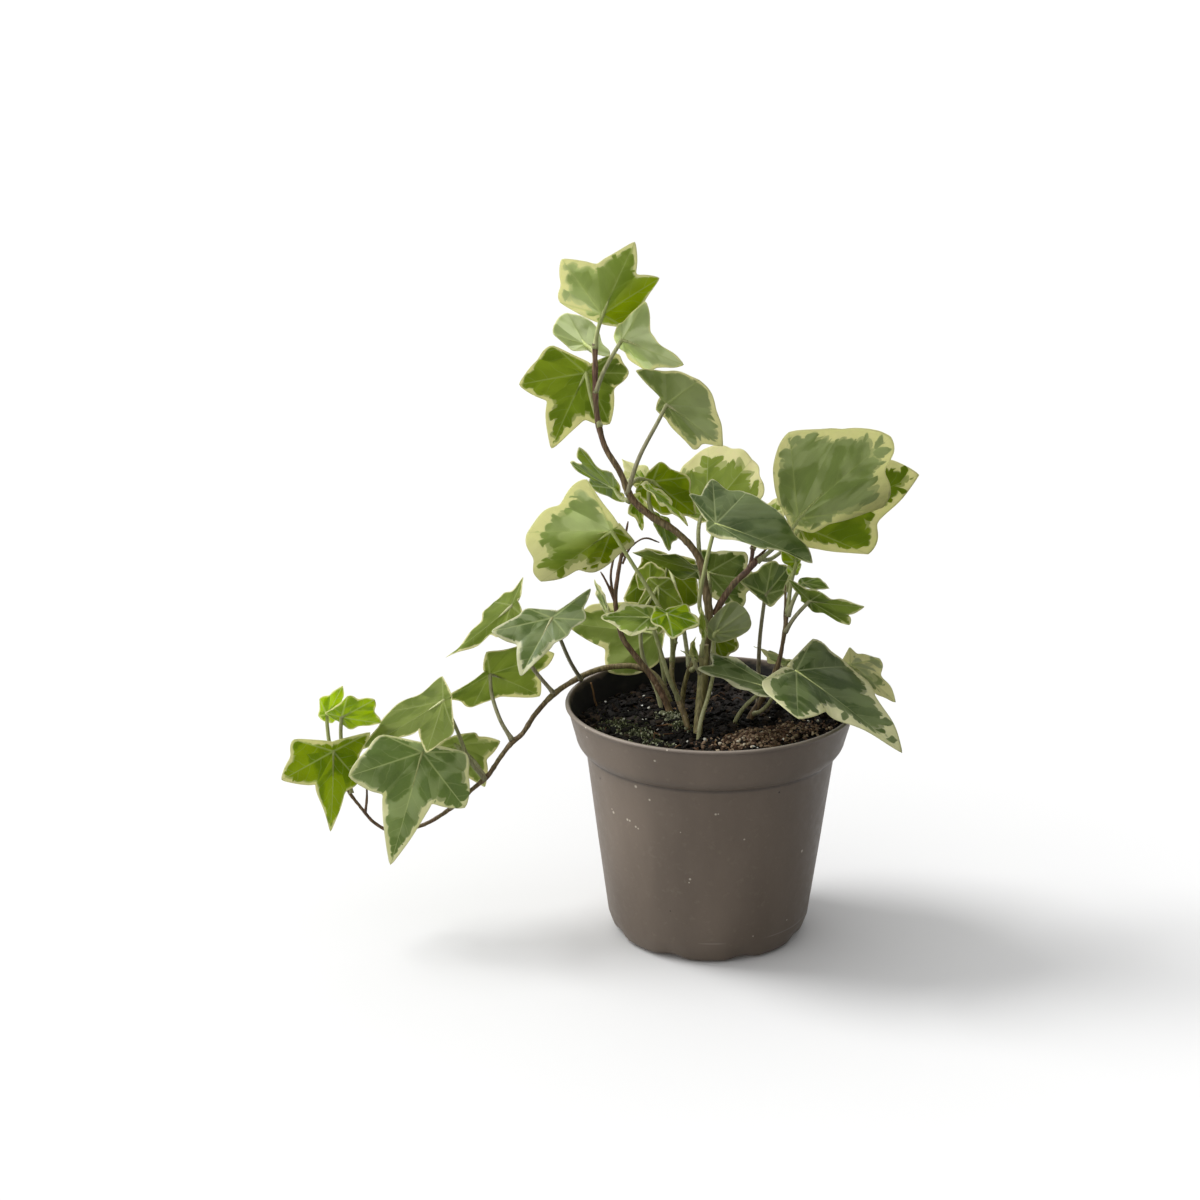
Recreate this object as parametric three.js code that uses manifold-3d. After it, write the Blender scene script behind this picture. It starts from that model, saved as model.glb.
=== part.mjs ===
// Potted variegated ivy: a nursery pot, its soil, the shoots and one solid per leaf with its stalk.
// Millimetres, +Z up. The origin is the centre of the pot's underside and -Y is the front.
import * as THREE from 'three';
import { mergeVertices } from 'three/addons/utils/BufferGeometryUtils.js';
import Module from 'manifold-3d';

const wasm = await Module();
wasm.setup();

// ---- driving dimensions -------------------------------------------------------------------
const POT_HEIGHT = 100;
const RIM_RADIUS = 60;
const WALL = 1.1;              // thickness of the pot wall
const FLOOR = 1.6;             // thickness of the pot bottom
const LIP = 1.5;               // height of the bead along the rim
const BAND_FOOT_Z = 85.5;      // where the straight band under the rim ends
const BAND_FOOT_RADIUS = 55.6;
const CREASE_Z = 80;           // groove under the shoulder
const CREASE_RADIUS = 51.5;
const HEEL_Z = 7.5;            // where the wall turns under into the bottom
const HEEL_RADIUS = 42;
const FOOT_RADIUS = 36.5;      // flat part of the underside
const POT_SIDES = 36;
const DRAIN_COUNT = 8;         // notches around the bottom edge
const DRAIN_RADIUS = 4.5;

const SOIL_Z = 91;             // soil surface at the middle of the pot
const SOIL_EDGE_Z = 89.5;
const CLEARANCE = 0.3;         // gap between touching pieces

const BLADE = 0.6;             // thickness of a leaf blade
const STALK_RADIUS = 0.8;      // leaf stalk at the stem
const STALK_TIP_RADIUS = 0.6;  // leaf stalk at the blade
const STALK_SIDES = 4;
const STEM_SIDES = 6;
const DEFAULT_NOTCH = 0.8;     // depth of the bays between lobes, 1 is a straight edge
const BASE_NOTCH = 4;          // distance from the stalk to the bay behind it, less on a small leaf
const BASE_SHARE = 0.2;        // the most it may be of the leaf's length
const LOBE_BULGE = 1.06;       // how far a lobe's edge swells past a straight line
const INNER_RING = 0.55;       // place of the ring of points inside the blade
const SMALL_LEAF = 20;         // a shorter blade has no such ring

const DEGREE = Math.PI / 180;

// ---- finishes -----------------------------------------------------------------------------
const FINISHES = {
  pot: { color: 0x6a6058, roughness: 0.55, metalness: 0 },
  soil: { color: 0x1d1712, roughness: 1, metalness: 0 },
  bark: { color: 0x5f4c3c, roughness: 0.8, metalness: 0 },
  green_stem: { color: 0x6e6a42, roughness: 0.7, metalness: 0 },
  leaf_dark: { color: 0x4f6647, roughness: 0.5, metalness: 0 },
  leaf_pale: { color: 0x869462, roughness: 0.6, metalness: 0 },
  leaf_bright: { color: 0x7d9a2a, roughness: 0.5, metalness: 0 },
};

// ---- solids -------------------------------------------------------------------------------
function toSolid(geometry) {
  const bare = geometry.clone();
  bare.deleteAttribute('normal');
  bare.deleteAttribute('uv');
  const merged = mergeVertices(bare, 1e-4);
  const mesh = new wasm.Mesh({
    numProp: 3,
    vertProperties: new Float32Array(merged.attributes.position.array),
    triVerts: new Uint32Array(merged.index.array),
  });
  return new wasm.Manifold(mesh);
}

function toGeometry(solid) {
  const mesh = solid.getMesh();
  const geometry = new THREE.BufferGeometry();
  geometry.setAttribute('position', new THREE.BufferAttribute(mesh.vertProperties, 3));
  geometry.setIndex(new THREE.BufferAttribute(mesh.triVerts, 1));
  geometry.computeVertexNormals();
  return geometry;
}

function vectors(points) {
  return points.map(([x, y, z]) => new THREE.Vector3(x, y, z));
}

// A round rod along a smooth curve, thinning from one end to the other.
function rod(points, startRadius, endRadius, sides, steps) {
  const curve = new THREE.CatmullRomCurve3(vectors(points), false, 'centripetal');
  const section = new THREE.Shape();
  for (let k = 0; k < sides; k += 1) {
    const angle = (2 * Math.PI * k) / sides;
    const place = [Math.cos(angle), Math.sin(angle)];
    if (k === 0) section.moveTo(...place);
    else section.lineTo(...place);
  }
  section.closePath();
  const geometry = new THREE.ExtrudeGeometry(section, { steps, extrudePath: curve, curveSegments: 1 });
  const position = geometry.attributes.position;
  const rings = curve.getSpacedPoints(steps);
  const vertex = new THREE.Vector3();
  for (let i = 0; i < position.count; i += 1) {
    vertex.fromBufferAttribute(position, i);
    const distances = rings.map((ring) => Math.abs(ring.distanceTo(vertex) - 1));
    const ring = distances.indexOf(Math.min(...distances));
    const radius = startRadius + ((endRadius - startRadius) * ring) / steps;
    vertex.sub(rings[ring]).multiplyScalar(radius).add(rings[ring]);
    position.setXYZ(i, vertex.x, vertex.y, vertex.z);
  }
  return toSolid(geometry);
}

function join(solids) {
  return solids.reduce((sum, solid) => sum.add(solid));
}

// ---- pot ----------------------------------------------------------------------------------
function lathe(profile, segments) {
  const points = profile.map(([radius, z]) => new THREE.Vector2(radius, z));
  const geometry = new THREE.LatheGeometry(points, segments);
  geometry.rotateX(Math.PI / 2);
  return toSolid(geometry);
}

function makePot() {
  const outside = [
    [0, 0], [FOOT_RADIUS, 0], [FOOT_RADIUS + 3.2, 1.6], [HEEL_RADIUS, HEEL_Z],
    [CREASE_RADIUS, CREASE_Z], [CREASE_RADIUS + 2.6, CREASE_Z + 2.2],
    [BAND_FOOT_RADIUS, BAND_FOOT_Z], [RIM_RADIUS - 0.9, POT_HEIGHT - LIP],
    [RIM_RADIUS, POT_HEIGHT - LIP + 0.3], [RIM_RADIUS, POT_HEIGHT - 0.4], [RIM_RADIUS - 0.5, POT_HEIGHT],
  ];
  const inside = [
    [RIM_RADIUS - WALL - 0.6, POT_HEIGHT], [RIM_RADIUS - WALL - 1.1, POT_HEIGHT - LIP],
    [BAND_FOOT_RADIUS - WALL, BAND_FOOT_Z], [CREASE_RADIUS - WALL, CREASE_Z + 0.5],
    [HEEL_RADIUS - WALL, HEEL_Z], [FOOT_RADIUS, FLOOR + 1.2], [0, FLOOR],
  ];
  let pot = lathe([...outside, ...inside], POT_SIDES);
  for (let k = 0; k < DRAIN_COUNT; k += 1) {
    const drain = new THREE.CylinderGeometry(DRAIN_RADIUS, DRAIN_RADIUS, 9, 8);
    drain.scale(1, 1, 0.62);
    drain.rotateZ(Math.PI / 2);
    drain.translate(HEEL_RADIUS - 2, 0, 0);
    drain.rotateZ(((k + 0.5) * 2 * Math.PI) / DRAIN_COUNT);
    pot = pot.subtract(toSolid(drain));
  }
  return pot;
}

// ---- shoots -------------------------------------------------------------------------------
// Each shoot is one or more rods: points along it, radius at its start and at its end, steps.
const SHOOTS = {
  main_stem: {
    finish: 'bark',
    rods: [[[
      [-4, 0, 84], [-4, 0, 92], [-3, 1, 105], [-2, 1, 120], [-1, 0, 135], [-3, 0, 150], [-6, 0, 162],
      [-15, 1, 172], [-25, 2, 178], [-33, 3, 185], [-38, 4, 196], [-44, 5, 206], [-47, 6, 217],
      [-48, 6, 230], [-48, 6, 240], [-48, 5, 248],
    ], 2.1, 1.4, 26]],
  },
  cut_trunk: {
    finish: 'green_stem',
    rods: [[[[-5, -13, 84], [-5, -12, 92], [-4, -8, 106], [-3, -6, 118], [-3, -5, 126]], 2.3, 2.4, 6]],
  },
  crossing_shoot: {
    finish: 'green_stem',
    rods: [[[[-12, 10, 84], [-12, 9, 94], [-11, 7, 104], [-9, 5, 112], [-7, 4, 117]], 1.5, 1.1, 5]],
  },
  snapped_branch: {
    finish: 'bark',
    from: 'main_stem',
    rods: [
      [[[1, 1, 137], [4, 1, 143], [9, 0, 151], [14, 0, 156], [18, 0, 161]], 1.7, 1.5, 6],
      [[[11, 0, 153], [15, 1, 158], [16, 1, 163], [16, 1, 168]], 1.3, 0.8, 4],
      [[[17, 0, 160], [20, 2, 163], [22, 3, 165]], 1.3, 0.6, 3],
    ],
  },
  left_stem: {
    finish: 'bark',
    rods: [
      [[[-16, 8, 84], [-17, 8, 92], [-23, 10, 104], [-33, 12, 117], [-37, 12, 123], [-40, 12, 139],
        [-39, 12, 150], [-37, 12, 161]], 1.9, 1.0, 12],
      [[[-40, 12, 138], [-43, 11, 146], [-46, 10, 152]], 0.8, 0.6, 3],
      [[[-40, 12, 137], [-42, 14, 149], [-40, 15, 160]], 0.8, 0.6, 4],
      [[[-37, 12, 158], [-36, 14, 166], [-35, 16, 172]], 0.8, 0.6, 3],
      [[[-37, 12, 155], [-34, 11, 162], [-28, 12, 166], [-22, 13, 164]], 0.6, 0.5, 5],
    ],
  },
  leaning_shoot: {
    finish: 'green_stem',
    rods: [[[[-9, -9, 84], [-10, -6, 93], [-13, -3, 101], [-16, 0, 109], [-16, 1, 117], [-15, 2, 127]],
      1.7, 1.2, 8]],
  },
  right_stem: {
    finish: 'bark',
    rods: [
      [[[14, 2, 84], [16, 2, 91], [21, 3, 100], [25, 4, 108], [28, 4, 117], [30, 4, 130], [31, 4, 139]],
        1.7, 0.9, 9],
      [[[30, 4, 129], [30, 6, 140], [30, 8, 148]], 0.8, 0.6, 4],
    ],
  },
  trailing_stem: {
    finish: 'green_stem',
    rods: [[[[-144, -6, 50], [-143, -7, 58], [-143, -7, 64]], 0.8, 0.6, 3], [[
      [-16, 22, 84], [-18, 23, 93], [-24, 26, 102], [-32, 28, 105], [-40, 28, 105], [-48, 26, 104],
      [-56, 22, 101.5], [-66, 17, 96], [-74, 12, 88], [-79, 8, 81], [-83, 6, 78], [-88, 3, 72],
      [-93, 0, 65], [-99, -2, 60], [-108, -4, 52], [-121, -5, 44], [-134, -6, 42], [-141, -6, 46],
      [-145, -6, 51], [-151, -5, 59], [-155, -4, 68],
    ], 1.9, 0.9, 34]],
  },
};

// A shoot that springs from another one is cut back to leave the clearance between them.
function makeShoot(name, extra = 0) {
  const { rods, from } = SHOOTS[name];
  const shoot = join(rods.map(([points, start, end, steps]) => (
    rod(points, start + extra, end + extra, STEM_SIDES, steps))));
  return from && extra === 0 ? shoot.subtract(makeShoot(from, CLEARANCE)) : shoot;
}

// ---- leaves -------------------------------------------------------------------------------
// A blade is drawn around the point where its stalk meets it. Each lobe is [angle, length]: the
// angle is taken from the middle rib, positive to the left of the upper side. bays are the lengths
// halfway between the lobes, where the blade is cut back further or less than usual.
// pose is the middle rib's heading and pitch and the blade's roll about it, in degrees.
const LEAVES = [];

function leaf(name, shoot, at, pose, lobes, stalk, shape = {}) {
  LEAVES.push({ name, shoot, at, pose, lobes, stalk, notch: DEFAULT_NOTCH, fold: 4, droop: 8, ...shape });
}

// upper shoot
leaf('crown_leaf', 'main_stem', [-45, 4, 260], [-20, 65, -55],
  [[-95, 18], [-57, 29], [0, 33], [37, 27], [103, 11]], [[-48, 5, 246], [-47, 5, 253]],
  { bays: [21, 22, 23, 15] });
leaf('crown_back_leaf', 'main_stem', [-53, 22, 244], [120, 35, -160],
  [[-120, 9], [-75, 15], [0, 19], [70, 14], [120, 16]], [[-48, 6, 237], [-49, 13, 243]]);
leaf('upper_left_leaf', 'main_stem', [-52, 11, 235], [180, -65, 70],
  [[-110, 18], [-50, 27], [0, 35], [58, 28], [108, 19]], [[-46, 5, 214], [-50, 9, 226]],
  { bays: [17, 24, 21, 22] });
leaf('upper_right_leaf', 'main_stem', [-37, 4, 250], [-25, -15, -65],
  [[-110, 7], [-68, 26], [0, 28], [52, 18], [110, 7]], [[-48, 6, 228], [-44, 4, 238], [-39, 3, 247]],
  { bays: [9, 17, 17, 8] });
leaf('shoulder_leaf', 'main_stem', [-19, 0, 225], [-15, -35, -60],
  [[-160, 19], [-75, 22], [0, 28], [37, 23], [110, 8]], [[-35, 3, 187], [-30, 0, 203], [-22, -1, 219]],
  { bays: [16, 23, 21, 9] });

// middle, left of the main stem
leaf('left_young_leaf', 'main_stem', [-41, 16, 186], [140, 15, -127],
  [[-110, 10], [-61, 24], [0, 26], [25, 18], [110, 9]], [[-34, 3, 184], [-38, 9, 184]],
  { finish: 'leaf_dark' });
leaf('left_broad_leaf', 'leaning_shoot', [-41, -2, 173], [160, -40, 47],
  [[-100, 12], [-32, 27], [0, 41], [46, 34], [117, 33]],
  [[-15, 2, 124], [-19, -1, 136], [-30, -2, 155]],
  { bays: [15, 27, 34, 26] });
leaf('behind_stem_leaf', 'main_stem', [-29, 31, 185], [150, 38, 0],
  [[-110, 7], [-58, 10], [0, 14], [65, 12], [115, 8]], [[-34, 3, 186], [-35, 12, 189], [-34, 22, 188]],
  { finish: 'leaf_dark' });
leaf('curled_stem_leaf', 'main_stem', [-26, 3, 189], [-10, -42, -6],
  [[-110, 7], [-60, 12], [0, 22], [52, 14], [110, 7]], [[-24, 2, 177], [-26, 4, 183]],
  { finish: 'leaf_dark' });
leaf('hanging_leaf_left', 'main_stem', [-32, 12, 182], [-35, -74, -10],
  [[-115, 6], [-66, 10], [0, 13], [60, 10], [115, 6]], [[-29, 2, 181], [-31, 8, 183]],
  { finish: 'leaf_dark' });
leaf('hanging_leaf_right', 'main_stem', [-21, 14, 173], [-72, -50, -45],
  [[-115, 6], [-62, 11], [0, 14], [62, 11], [115, 6]], [[-20, 1, 175], [-21, 8, 176]],
  { finish: 'leaf_dark' });

// middle, right of the main stem
leaf('middle_dark_leaf', 'main_stem', [-25, 20, 188], [0, -38, -90],
  [[-110, 9], [-45, 15], [0, 23], [38, 15], [110, 9]], [[-35, 3, 189], [-31, 12, 191]]);
leaf('middle_backlit_leaf', 'main_stem', [-3, 24, 173], [50, 45, -175],
  [[-95, 16], [-60, 28], [-30, 36], [10, 31], [50, 25], [100, 10]],
  [[-5, 0, 158], [-6, 8, 170], [-5, 17, 174]],
  { bays: [21, 31, 33, 27, 15], finish: 'leaf_bright' });
leaf('long_front_leaf', 'main_stem', [1, -12, 179], [-5, -20, 12],
  [[-110, 8], [-30, 20], [0, 42], [76, 30], [103, 34], [136, 20]],
  [[-1, 0, 132], [-5, -5, 142], [-3, -9, 160]],
  { bays: [9, 24, 33, 29, 19], finish: 'leaf_dark' });
leaf('right_broad_leaf', 'snapped_branch', [34, 5, 177], [5, 45, -53],
  [[-90, 15], [-60, 46], [5, 50], [50, 39], [95, 13]],
  [[18, 0, 160], [25, 1, 166], [31, 3, 172]],
  { bays: [33, 44, 43, 24] });
leaf('right_rear_leaf', 'snapped_branch', [36, 28, 168], [9, 22, -83],
  [[-90, 12], [-45, 30], [0, 54], [49, 35], [113, 8]], [[18, 1, 161], [24, 12, 158], [32, 23, 162]],
  { bays: [20, 40, 33, 13] });
leaf('rear_cream_leaf', 'snapped_branch', [25, 14, 176], [80, 49, -172],
  [[-110, 4], [-53, 6], [0, 8], [50, 6], [110, 4]], [[16, 1, 165], [20, 7, 171]]);
leaf('bud_leaf_upper', 'right_stem', [34, 5, 159], [152, 33, -106],
  [[-110, 4], [-56, 7], [0, 8], [45, 7], [110, 4]], [[31, 4, 137], [32, 7, 148]],
  { finish: 'leaf_dark' });
leaf('bud_leaf_lower', 'right_stem', [33, 9, 153], [73, 58, -23],
  [[-110, 3], [-50, 5], [0, 6], [45, 5], [110, 3]], [[30, 8, 145], [31, 9, 149]],
  { finish: 'leaf_dark' });
leaf('folded_right_leaf', 'right_stem', [40, 3, 143], [-25, 2, 135],
  [[-100, 9], [-47, 20], [0, 24], [50, 14], [102, 19]], [[30, 4, 129], [34, 3, 136]],
  { finish: 'leaf_dark' });
leaf('small_grey_leaf', 'right_stem', [37, 4, 150], [-7, -8, 6],
  [[-110, 5], [-48, 8], [0, 11], [55, 9], [110, 5]], [[31, 4, 136], [34, 3, 145]],
  { finish: 'leaf_dark' });
leaf('stalked_dark_leaf', 'soil', [22, 11, 143], [45, 35, 78],
  [[-110, 10], [-32, 13], [0, 16], [38, 14], [114, 16]], [[20, 24, 86], [20, 22, 96], [20, 14, 122]],
  { finish: 'leaf_dark' });

// front right, over the rim
leaf('front_broad_leaf', 'soil', [34, -22, 121], [-25, -30, 0],
  [[-100, 24], [-61, 39], [0, 54], [60, 40], [103, 30]],
  [[8, 0, 86], [13, -2, 97], [22, -7, 108], [30, -14, 117]],
  { bays: [32, 26, 43, 31], finish: 'leaf_dark' });
leaf('front_low_leaf', 'right_stem', [26, -22, 113], [169, 10, -21],
  [[-100, 6], [-36, 10], [-22, 32], [0, 33], [28, 11], [100, 6]],
  [[18, 2, 94], [21, -8, 99], [24, -17, 106]],
  { bays: [7, 20, 27, 17, 8], finish: 'leaf_dark' });
leaf('right_low_leaf', 'soil', [58, 12, 113], [-30, -30, -60],
  [[-110, 10], [-57, 19], [0, 25], [62, 20], [110, 10]], [[27, 20, 86], [30, 19, 96], [45, 15, 109]]);
leaf('rim_leaf', 'right_stem', [33, 18, 111], [175, 25, -149],
  [[-110, 7], [-37, 13], [0, 17], [59, 14], [110, 8]], [[27, 4, 113], [30, 11, 111]],
  { finish: 'leaf_dark' });

// centre
leaf('centre_variegated_leaf', 'leaning_shoot', [-25, -14, 140], [-177, 0, -17],
  [[-110, 8], [-43, 13], [0, 20], [60, 17], [110, 9]], [[-13, -3, 101], [-17, -8, 112], [-22, -12, 130]],
  { finish: 'leaf_bright' });
leaf('centre_bright_leaf', 'leaning_shoot', [-18, -18, 143], [-78, -25, -10],
  [[-130, 6], [-55, 10], [0, 15], [66, 14], [130, 12]], [[-16, 1, 117], [-16, -7, 128], [-17, -14, 138]],
  { finish: 'leaf_bright' });
leaf('centre_dark_leaf', 'main_stem', [-6, 11, 153], [163, 12, -145],
  [[-110, 10], [-72, 21], [0, 29], [64, 19], [110, 6]], [[-2, 1, 144], [-4, 8, 149]],
  { finish: 'leaf_dark' });
leaf('centre_curled_leaf', 'leaning_shoot', [-26, 25, 142], [93, 73, 150],
  [[-110, 6], [-53, 9], [0, 10], [53, 9], [110, 6]], [[-15, 2, 126], [-22, 14, 134]]);
leaf('centre_deep_leaf', 'crossing_shoot', [-19, 45, 146], [180, -80, 104],
  [[-110, 12], [-52, 21], [0, 31], [39, 27], [110, 12]], [[-9, 5, 113], [-13, 20, 132], [-17, 36, 143]],
  { finish: 'leaf_dark' });
leaf('centre_arched_leaf', 'soil', [-22, 13, 145], [-87, -74, -127],
  [[-115, 9], [-62, 16], [0, 20], [62, 17], [115, 9]],
  [[-20, 14, 86], [-22, 16, 96], [-29, 19, 114], [-29, 19, 130]]);
leaf('centre_right_leaf', 'main_stem', [-2, 21, 149], [-27, 0, 87],
  [[-110, 10], [-38, 21], [0, 22], [34, 21], [110, 10]], [[-1, 0, 138], [-1, 10, 146]],
  { finish: 'leaf_dark' });
leaf('round_grey_leaf', 'soil', [1, -6, 131], [9, 35, -114],
  [[-90, 5], [-30, 15], [0, 16], [26, 15], [45, 9], [110, 4]],
  [[-5, -20, 86], [-4, -18, 97], [-1, -11, 106], [1, -6, 115], [1, -5, 124]], { finish: 'leaf_dark' });
leaf('low_green_leaf', 'main_stem', [1, 19, 122], [10, -28, -121],
  [[-110, 6], [-38, 11], [0, 12], [44, 11], [110, 6]], [[-2, 1, 112], [0, 9, 117]],
  { finish: 'leaf_bright' });
leaf('back_left_leaf', 'soil', [-24, 37, 117], [177, 5, 112],
  [[-105, 12], [-47, 26], [0, 40], [22, 27], [100, 10]], [[-20, 33, 86], [-20, 33, 98]],
  { bays: [18, 22, 32, 14], finish: 'leaf_bright' });
leaf('dry_scale_leaf', 'cut_trunk', [-7, -11, 122], [-150, 35, 0],
  [[-90, 2], [-30, 4], [0, 8], [30, 4], [90, 2]], [[-4, -7, 114], [-6, -10, 118]]);
leaf('edge_leaf_upper', 'cut_trunk', [-3, -9, 132], [180, 83, 165],
  [[-110, 3], [-50, 7], [0, 12], [50, 7], [110, 3]], [[-3, -5, 120], [-4, -10, 125]],
  { finish: 'leaf_bright' });
leaf('edge_leaf_lower', 'crossing_shoot', [-6, 2, 118], [180, 88, 165],
  [[-110, 3], [-50, 6], [0, 10], [50, 6], [110, 3]],
  [[-8, 4, 112], [-7, 1, 114]], { droop: 70, finish: 'leaf_bright' });
leaf('pale_young_leaf', 'left_stem', [-44, 15, 135], [140, 60, -118],
  [[-110, 4], [-60, 9], [0, 13], [40, 8], [110, 4]], [[-39, 12, 131], [-42, 14, 132]],
  { finish: 'leaf_bright' });

// trailing shoot
leaf('trail_leaf_1', 'trailing_stem', [-82, 2, 139], [175, -40, 155],
  [[-110, 8], [-45, 14], [0, 38], [60, 26], [112, 19]], [[-66, 17, 96], [-76, 11, 112], [-81, 5, 130]],
  { bays: [9, 18, 27, 17] });
leaf('trail_leaf_2', 'trailing_stem', [-65, -7, 137], [-120, -40, -20],
  [[-90, 11], [-50, 26], [0, 30], [60, 11], [108, 14], [157, 22]], [[-55, 22, 101], [-59, 11, 113]],
  { bays: [15, 22, 14, 10, 14], finish: 'leaf_dark' });
leaf('trail_leaf_3', 'trailing_stem', [-93, 16, 105], [45, -30, -50],
  [[-141, 15], [-50, 29], [0, 32], [60, 26], [98, 24]], [[-83, 6, 79], [-88, 8, 87], [-92, 13, 97]],
  { bays: [18, 23, 20, 21] });
leaf('trail_leaf_4', 'trailing_stem', [-110, -6, 100], [-167, -28, 173],
  [[-87, 22], [-62, 32], [0, 39], [40, 30], [98, 24]], [[-94, -1, 64], [-100, -5, 74], [-105, -6, 88]],
  { bays: [25, 16, 31, 25] });
leaf('trail_leaf_5', 'trailing_stem', [-118, -18, 82], [-149, -72, -67],
  [[-101, 18], [-58, 32], [0, 51], [52, 30], [106, 18]],
  [[-108, -4, 52], [-111, -8, 64], [-116, -14, 75]],
  { bays: [24, 28, 21, 23], finish: 'leaf_dark' });
leaf('trail_leaf_6', 'trailing_stem', [-107, 8, 76], [3, -58, -84],
  [[-94, 10], [-62, 19], [0, 23], [60, 15], [110, 9]], [[-94, 0, 64], [-99, 4, 70]]);
leaf('trail_leaf_7', 'trailing_stem', [-156, -11, 79], [-95, -74, -52],
  [[-105, 23], [-69, 30], [0, 34], [45, 18], [112, 21]], [[-154, -4, 66], [-156, -7, 75]],
  { bays: [23, 17, 20, 15], finish: 'leaf_dark' });
leaf('trail_leaf_8', 'trailing_stem', [-160, 0, 91], [42, 54, 105],
  [[-110, 6], [-67, 11], [0, 14], [67, 11], [110, 6]], [[-153, -3, 63], [-159, 1, 76]],
  { finish: 'leaf_dark' });
leaf('trail_leaf_9', 'trailing_stem', [-153, -5, 92], [-14, 33, 130],
  [[-110, 8], [-54, 17], [0, 18], [40, 15], [110, 8]], [[-150, -5, 58], [-153, -1, 70], [-154, -2, 82]],
  { finish: 'leaf_dark' });

// Distance from the stalk to the straight line between two lobe tips.
function chordRadius(angle, [startAngle, startLength], [endAngle, endLength]) {
  const across = Math.sin((endAngle - startAngle) * DEGREE);
  const nearStart = endLength * Math.sin((endAngle - angle) * DEGREE);
  const nearEnd = startLength * Math.sin((angle - startAngle) * DEGREE);
  return (startLength * endLength * across) / (nearEnd + nearStart);
}

// The blade's outline as [angle, length], once round from the bay behind the stalk.
function outline({ lobes, notch, bays }) {
  const base = Math.min(BASE_NOTCH, BASE_SHARE * Math.max(...lobes.map((lobe) => lobe[1])));
  const corners = [[-180, base]];
  lobes.forEach((lobe, k) => {
    corners.push(lobe);
    const next = lobes[k + 1];
    if (!next) return;
    const angle = (lobe[0] + next[0]) / 2;
    corners.push([angle, bays?.[k] ?? notch * chordRadius(angle, lobe, next)]);
  });
  const points = [];
  corners.forEach((corner, k) => {
    const next = corners[k + 1] ?? [180, base];
    const angle = (corner[0] + next[0]) / 2;
    points.push(corner, [angle, LOBE_BULGE * chordRadius(angle, corner, next)]);
  });
  return points;
}

// Bends the flat blade: both halves rise by the fold and the tip sinks by the droop.
function bend(x, y, lift, { fold, droop, lobes }) {
  const length = Math.max(...lobes.map((lobe) => lobe[1]));
  const curl = (droop * DEGREE) / length;
  const height = lift + Math.abs(y) * Math.sin(fold * DEGREE);
  const turn = curl * x - (droop * DEGREE) / 2;
  const start = -(droop * DEGREE) / 2;
  const along = (Math.sin(turn) - Math.sin(start)) / curl + height * Math.sin(turn);
  const rise = (Math.cos(turn) - Math.cos(start)) / curl + height * Math.cos(turn);
  return [along, y * Math.cos(fold * DEGREE), rise];
}

function makeBlade(plan) {
  const points = outline(plan);
  const half = BLADE / 2;
  const small = Math.max(...plan.lobes.map((lobe) => lobe[1])) < SMALL_LEAF;
  const shares = small ? [0, 1, 1, 0] : [0, INNER_RING, 1, 1, INNER_RING, 0];
  const section = shares.map((share, k) => [share, k < shares.length / 2 ? -half : half]);
  const disc = new THREE.LatheGeometry(section.map((p) => new THREE.Vector2(...p)), points.length);
  const position = disc.attributes.position;
  for (let i = 0; i < position.count; i += 1) {
    const spoke = Math.floor(i / section.length) % points.length;
    const [share, lift] = section[i % section.length];
    const [angle, length] = points[spoke];
    const x = share * length * Math.cos(angle * DEGREE);
    const y = share * length * Math.sin(angle * DEGREE);
    position.setXYZ(i, ...bend(x, y, lift, plan));
  }
  const [heading, pitch, roll] = plan.pose.map((angle) => angle * DEGREE);
  const turned = new THREE.Matrix4().makeRotationFromEuler(new THREE.Euler(roll, -pitch, heading, 'ZYX'));
  disc.applyMatrix4(turned.setPosition(...plan.at));
  return toSolid(disc);
}

function makeStalk(plan, extra = 0) {
  const points = [...plan.stalk, plan.at];
  return rod(points, STALK_RADIUS + extra, STALK_TIP_RADIUS + extra, STALK_SIDES, points.length + 1);
}

function makeLeaf(plan) {
  let stalk = makeStalk(plan);
  if (plan.shoot !== 'soil') stalk = stalk.subtract(makeShoot(plan.shoot, CLEARANCE));
  return stalk.add(makeBlade(plan)).translate(plan.at.map((value) => -value));
}

// ---- soil ---------------------------------------------------------------------------------
function makeSoil() {
  const gap = WALL + CLEARANCE;
  let soil = lathe([
    [0, FLOOR + CLEARANCE], [FOOT_RADIUS - 1, FLOOR + 1.2 + CLEARANCE], [HEEL_RADIUS - gap, HEEL_Z + 1],
    [CREASE_RADIUS - gap, CREASE_Z + 0.8], [BAND_FOOT_RADIUS - gap, BAND_FOOT_Z],
    [BAND_FOOT_RADIUS - gap + 0.8, SOIL_EDGE_Z], [FOOT_RADIUS, SOIL_Z - 0.5], [0, SOIL_Z],
  ], POT_SIDES);
  Object.keys(SHOOTS).forEach((name) => {
    soil = soil.subtract(makeShoot(name, CLEARANCE));
  });
  LEAVES.filter((plan) => plan.shoot === 'soil').forEach((plan) => {
    soil = soil.subtract(makeStalk(plan, CLEARANCE));
  });
  return soil;
}

// ---- assembly -----------------------------------------------------------------------------
function addMesh(group, name, solid, finish) {
  const mesh = new THREE.Mesh(toGeometry(solid), new THREE.MeshStandardMaterial(FINISHES[finish]));
  mesh.name = name;
  group.add(mesh);
  return mesh;
}

const ivy = new THREE.Group();
addMesh(ivy, 'pot', makePot(), 'pot');
addMesh(ivy, 'soil', makeSoil(), 'soil');
Object.keys(SHOOTS).forEach((name) => addMesh(ivy, name, makeShoot(name), SHOOTS[name].finish));
LEAVES.forEach((plan) => {
  addMesh(ivy, plan.name, makeLeaf(plan), plan.finish ?? 'leaf_pale').position.set(...plan.at);
});

export default ivy;
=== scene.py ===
"""Potted variegated ivy: the pot, its soil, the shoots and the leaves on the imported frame, in metres."""
import math
import random

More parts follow.
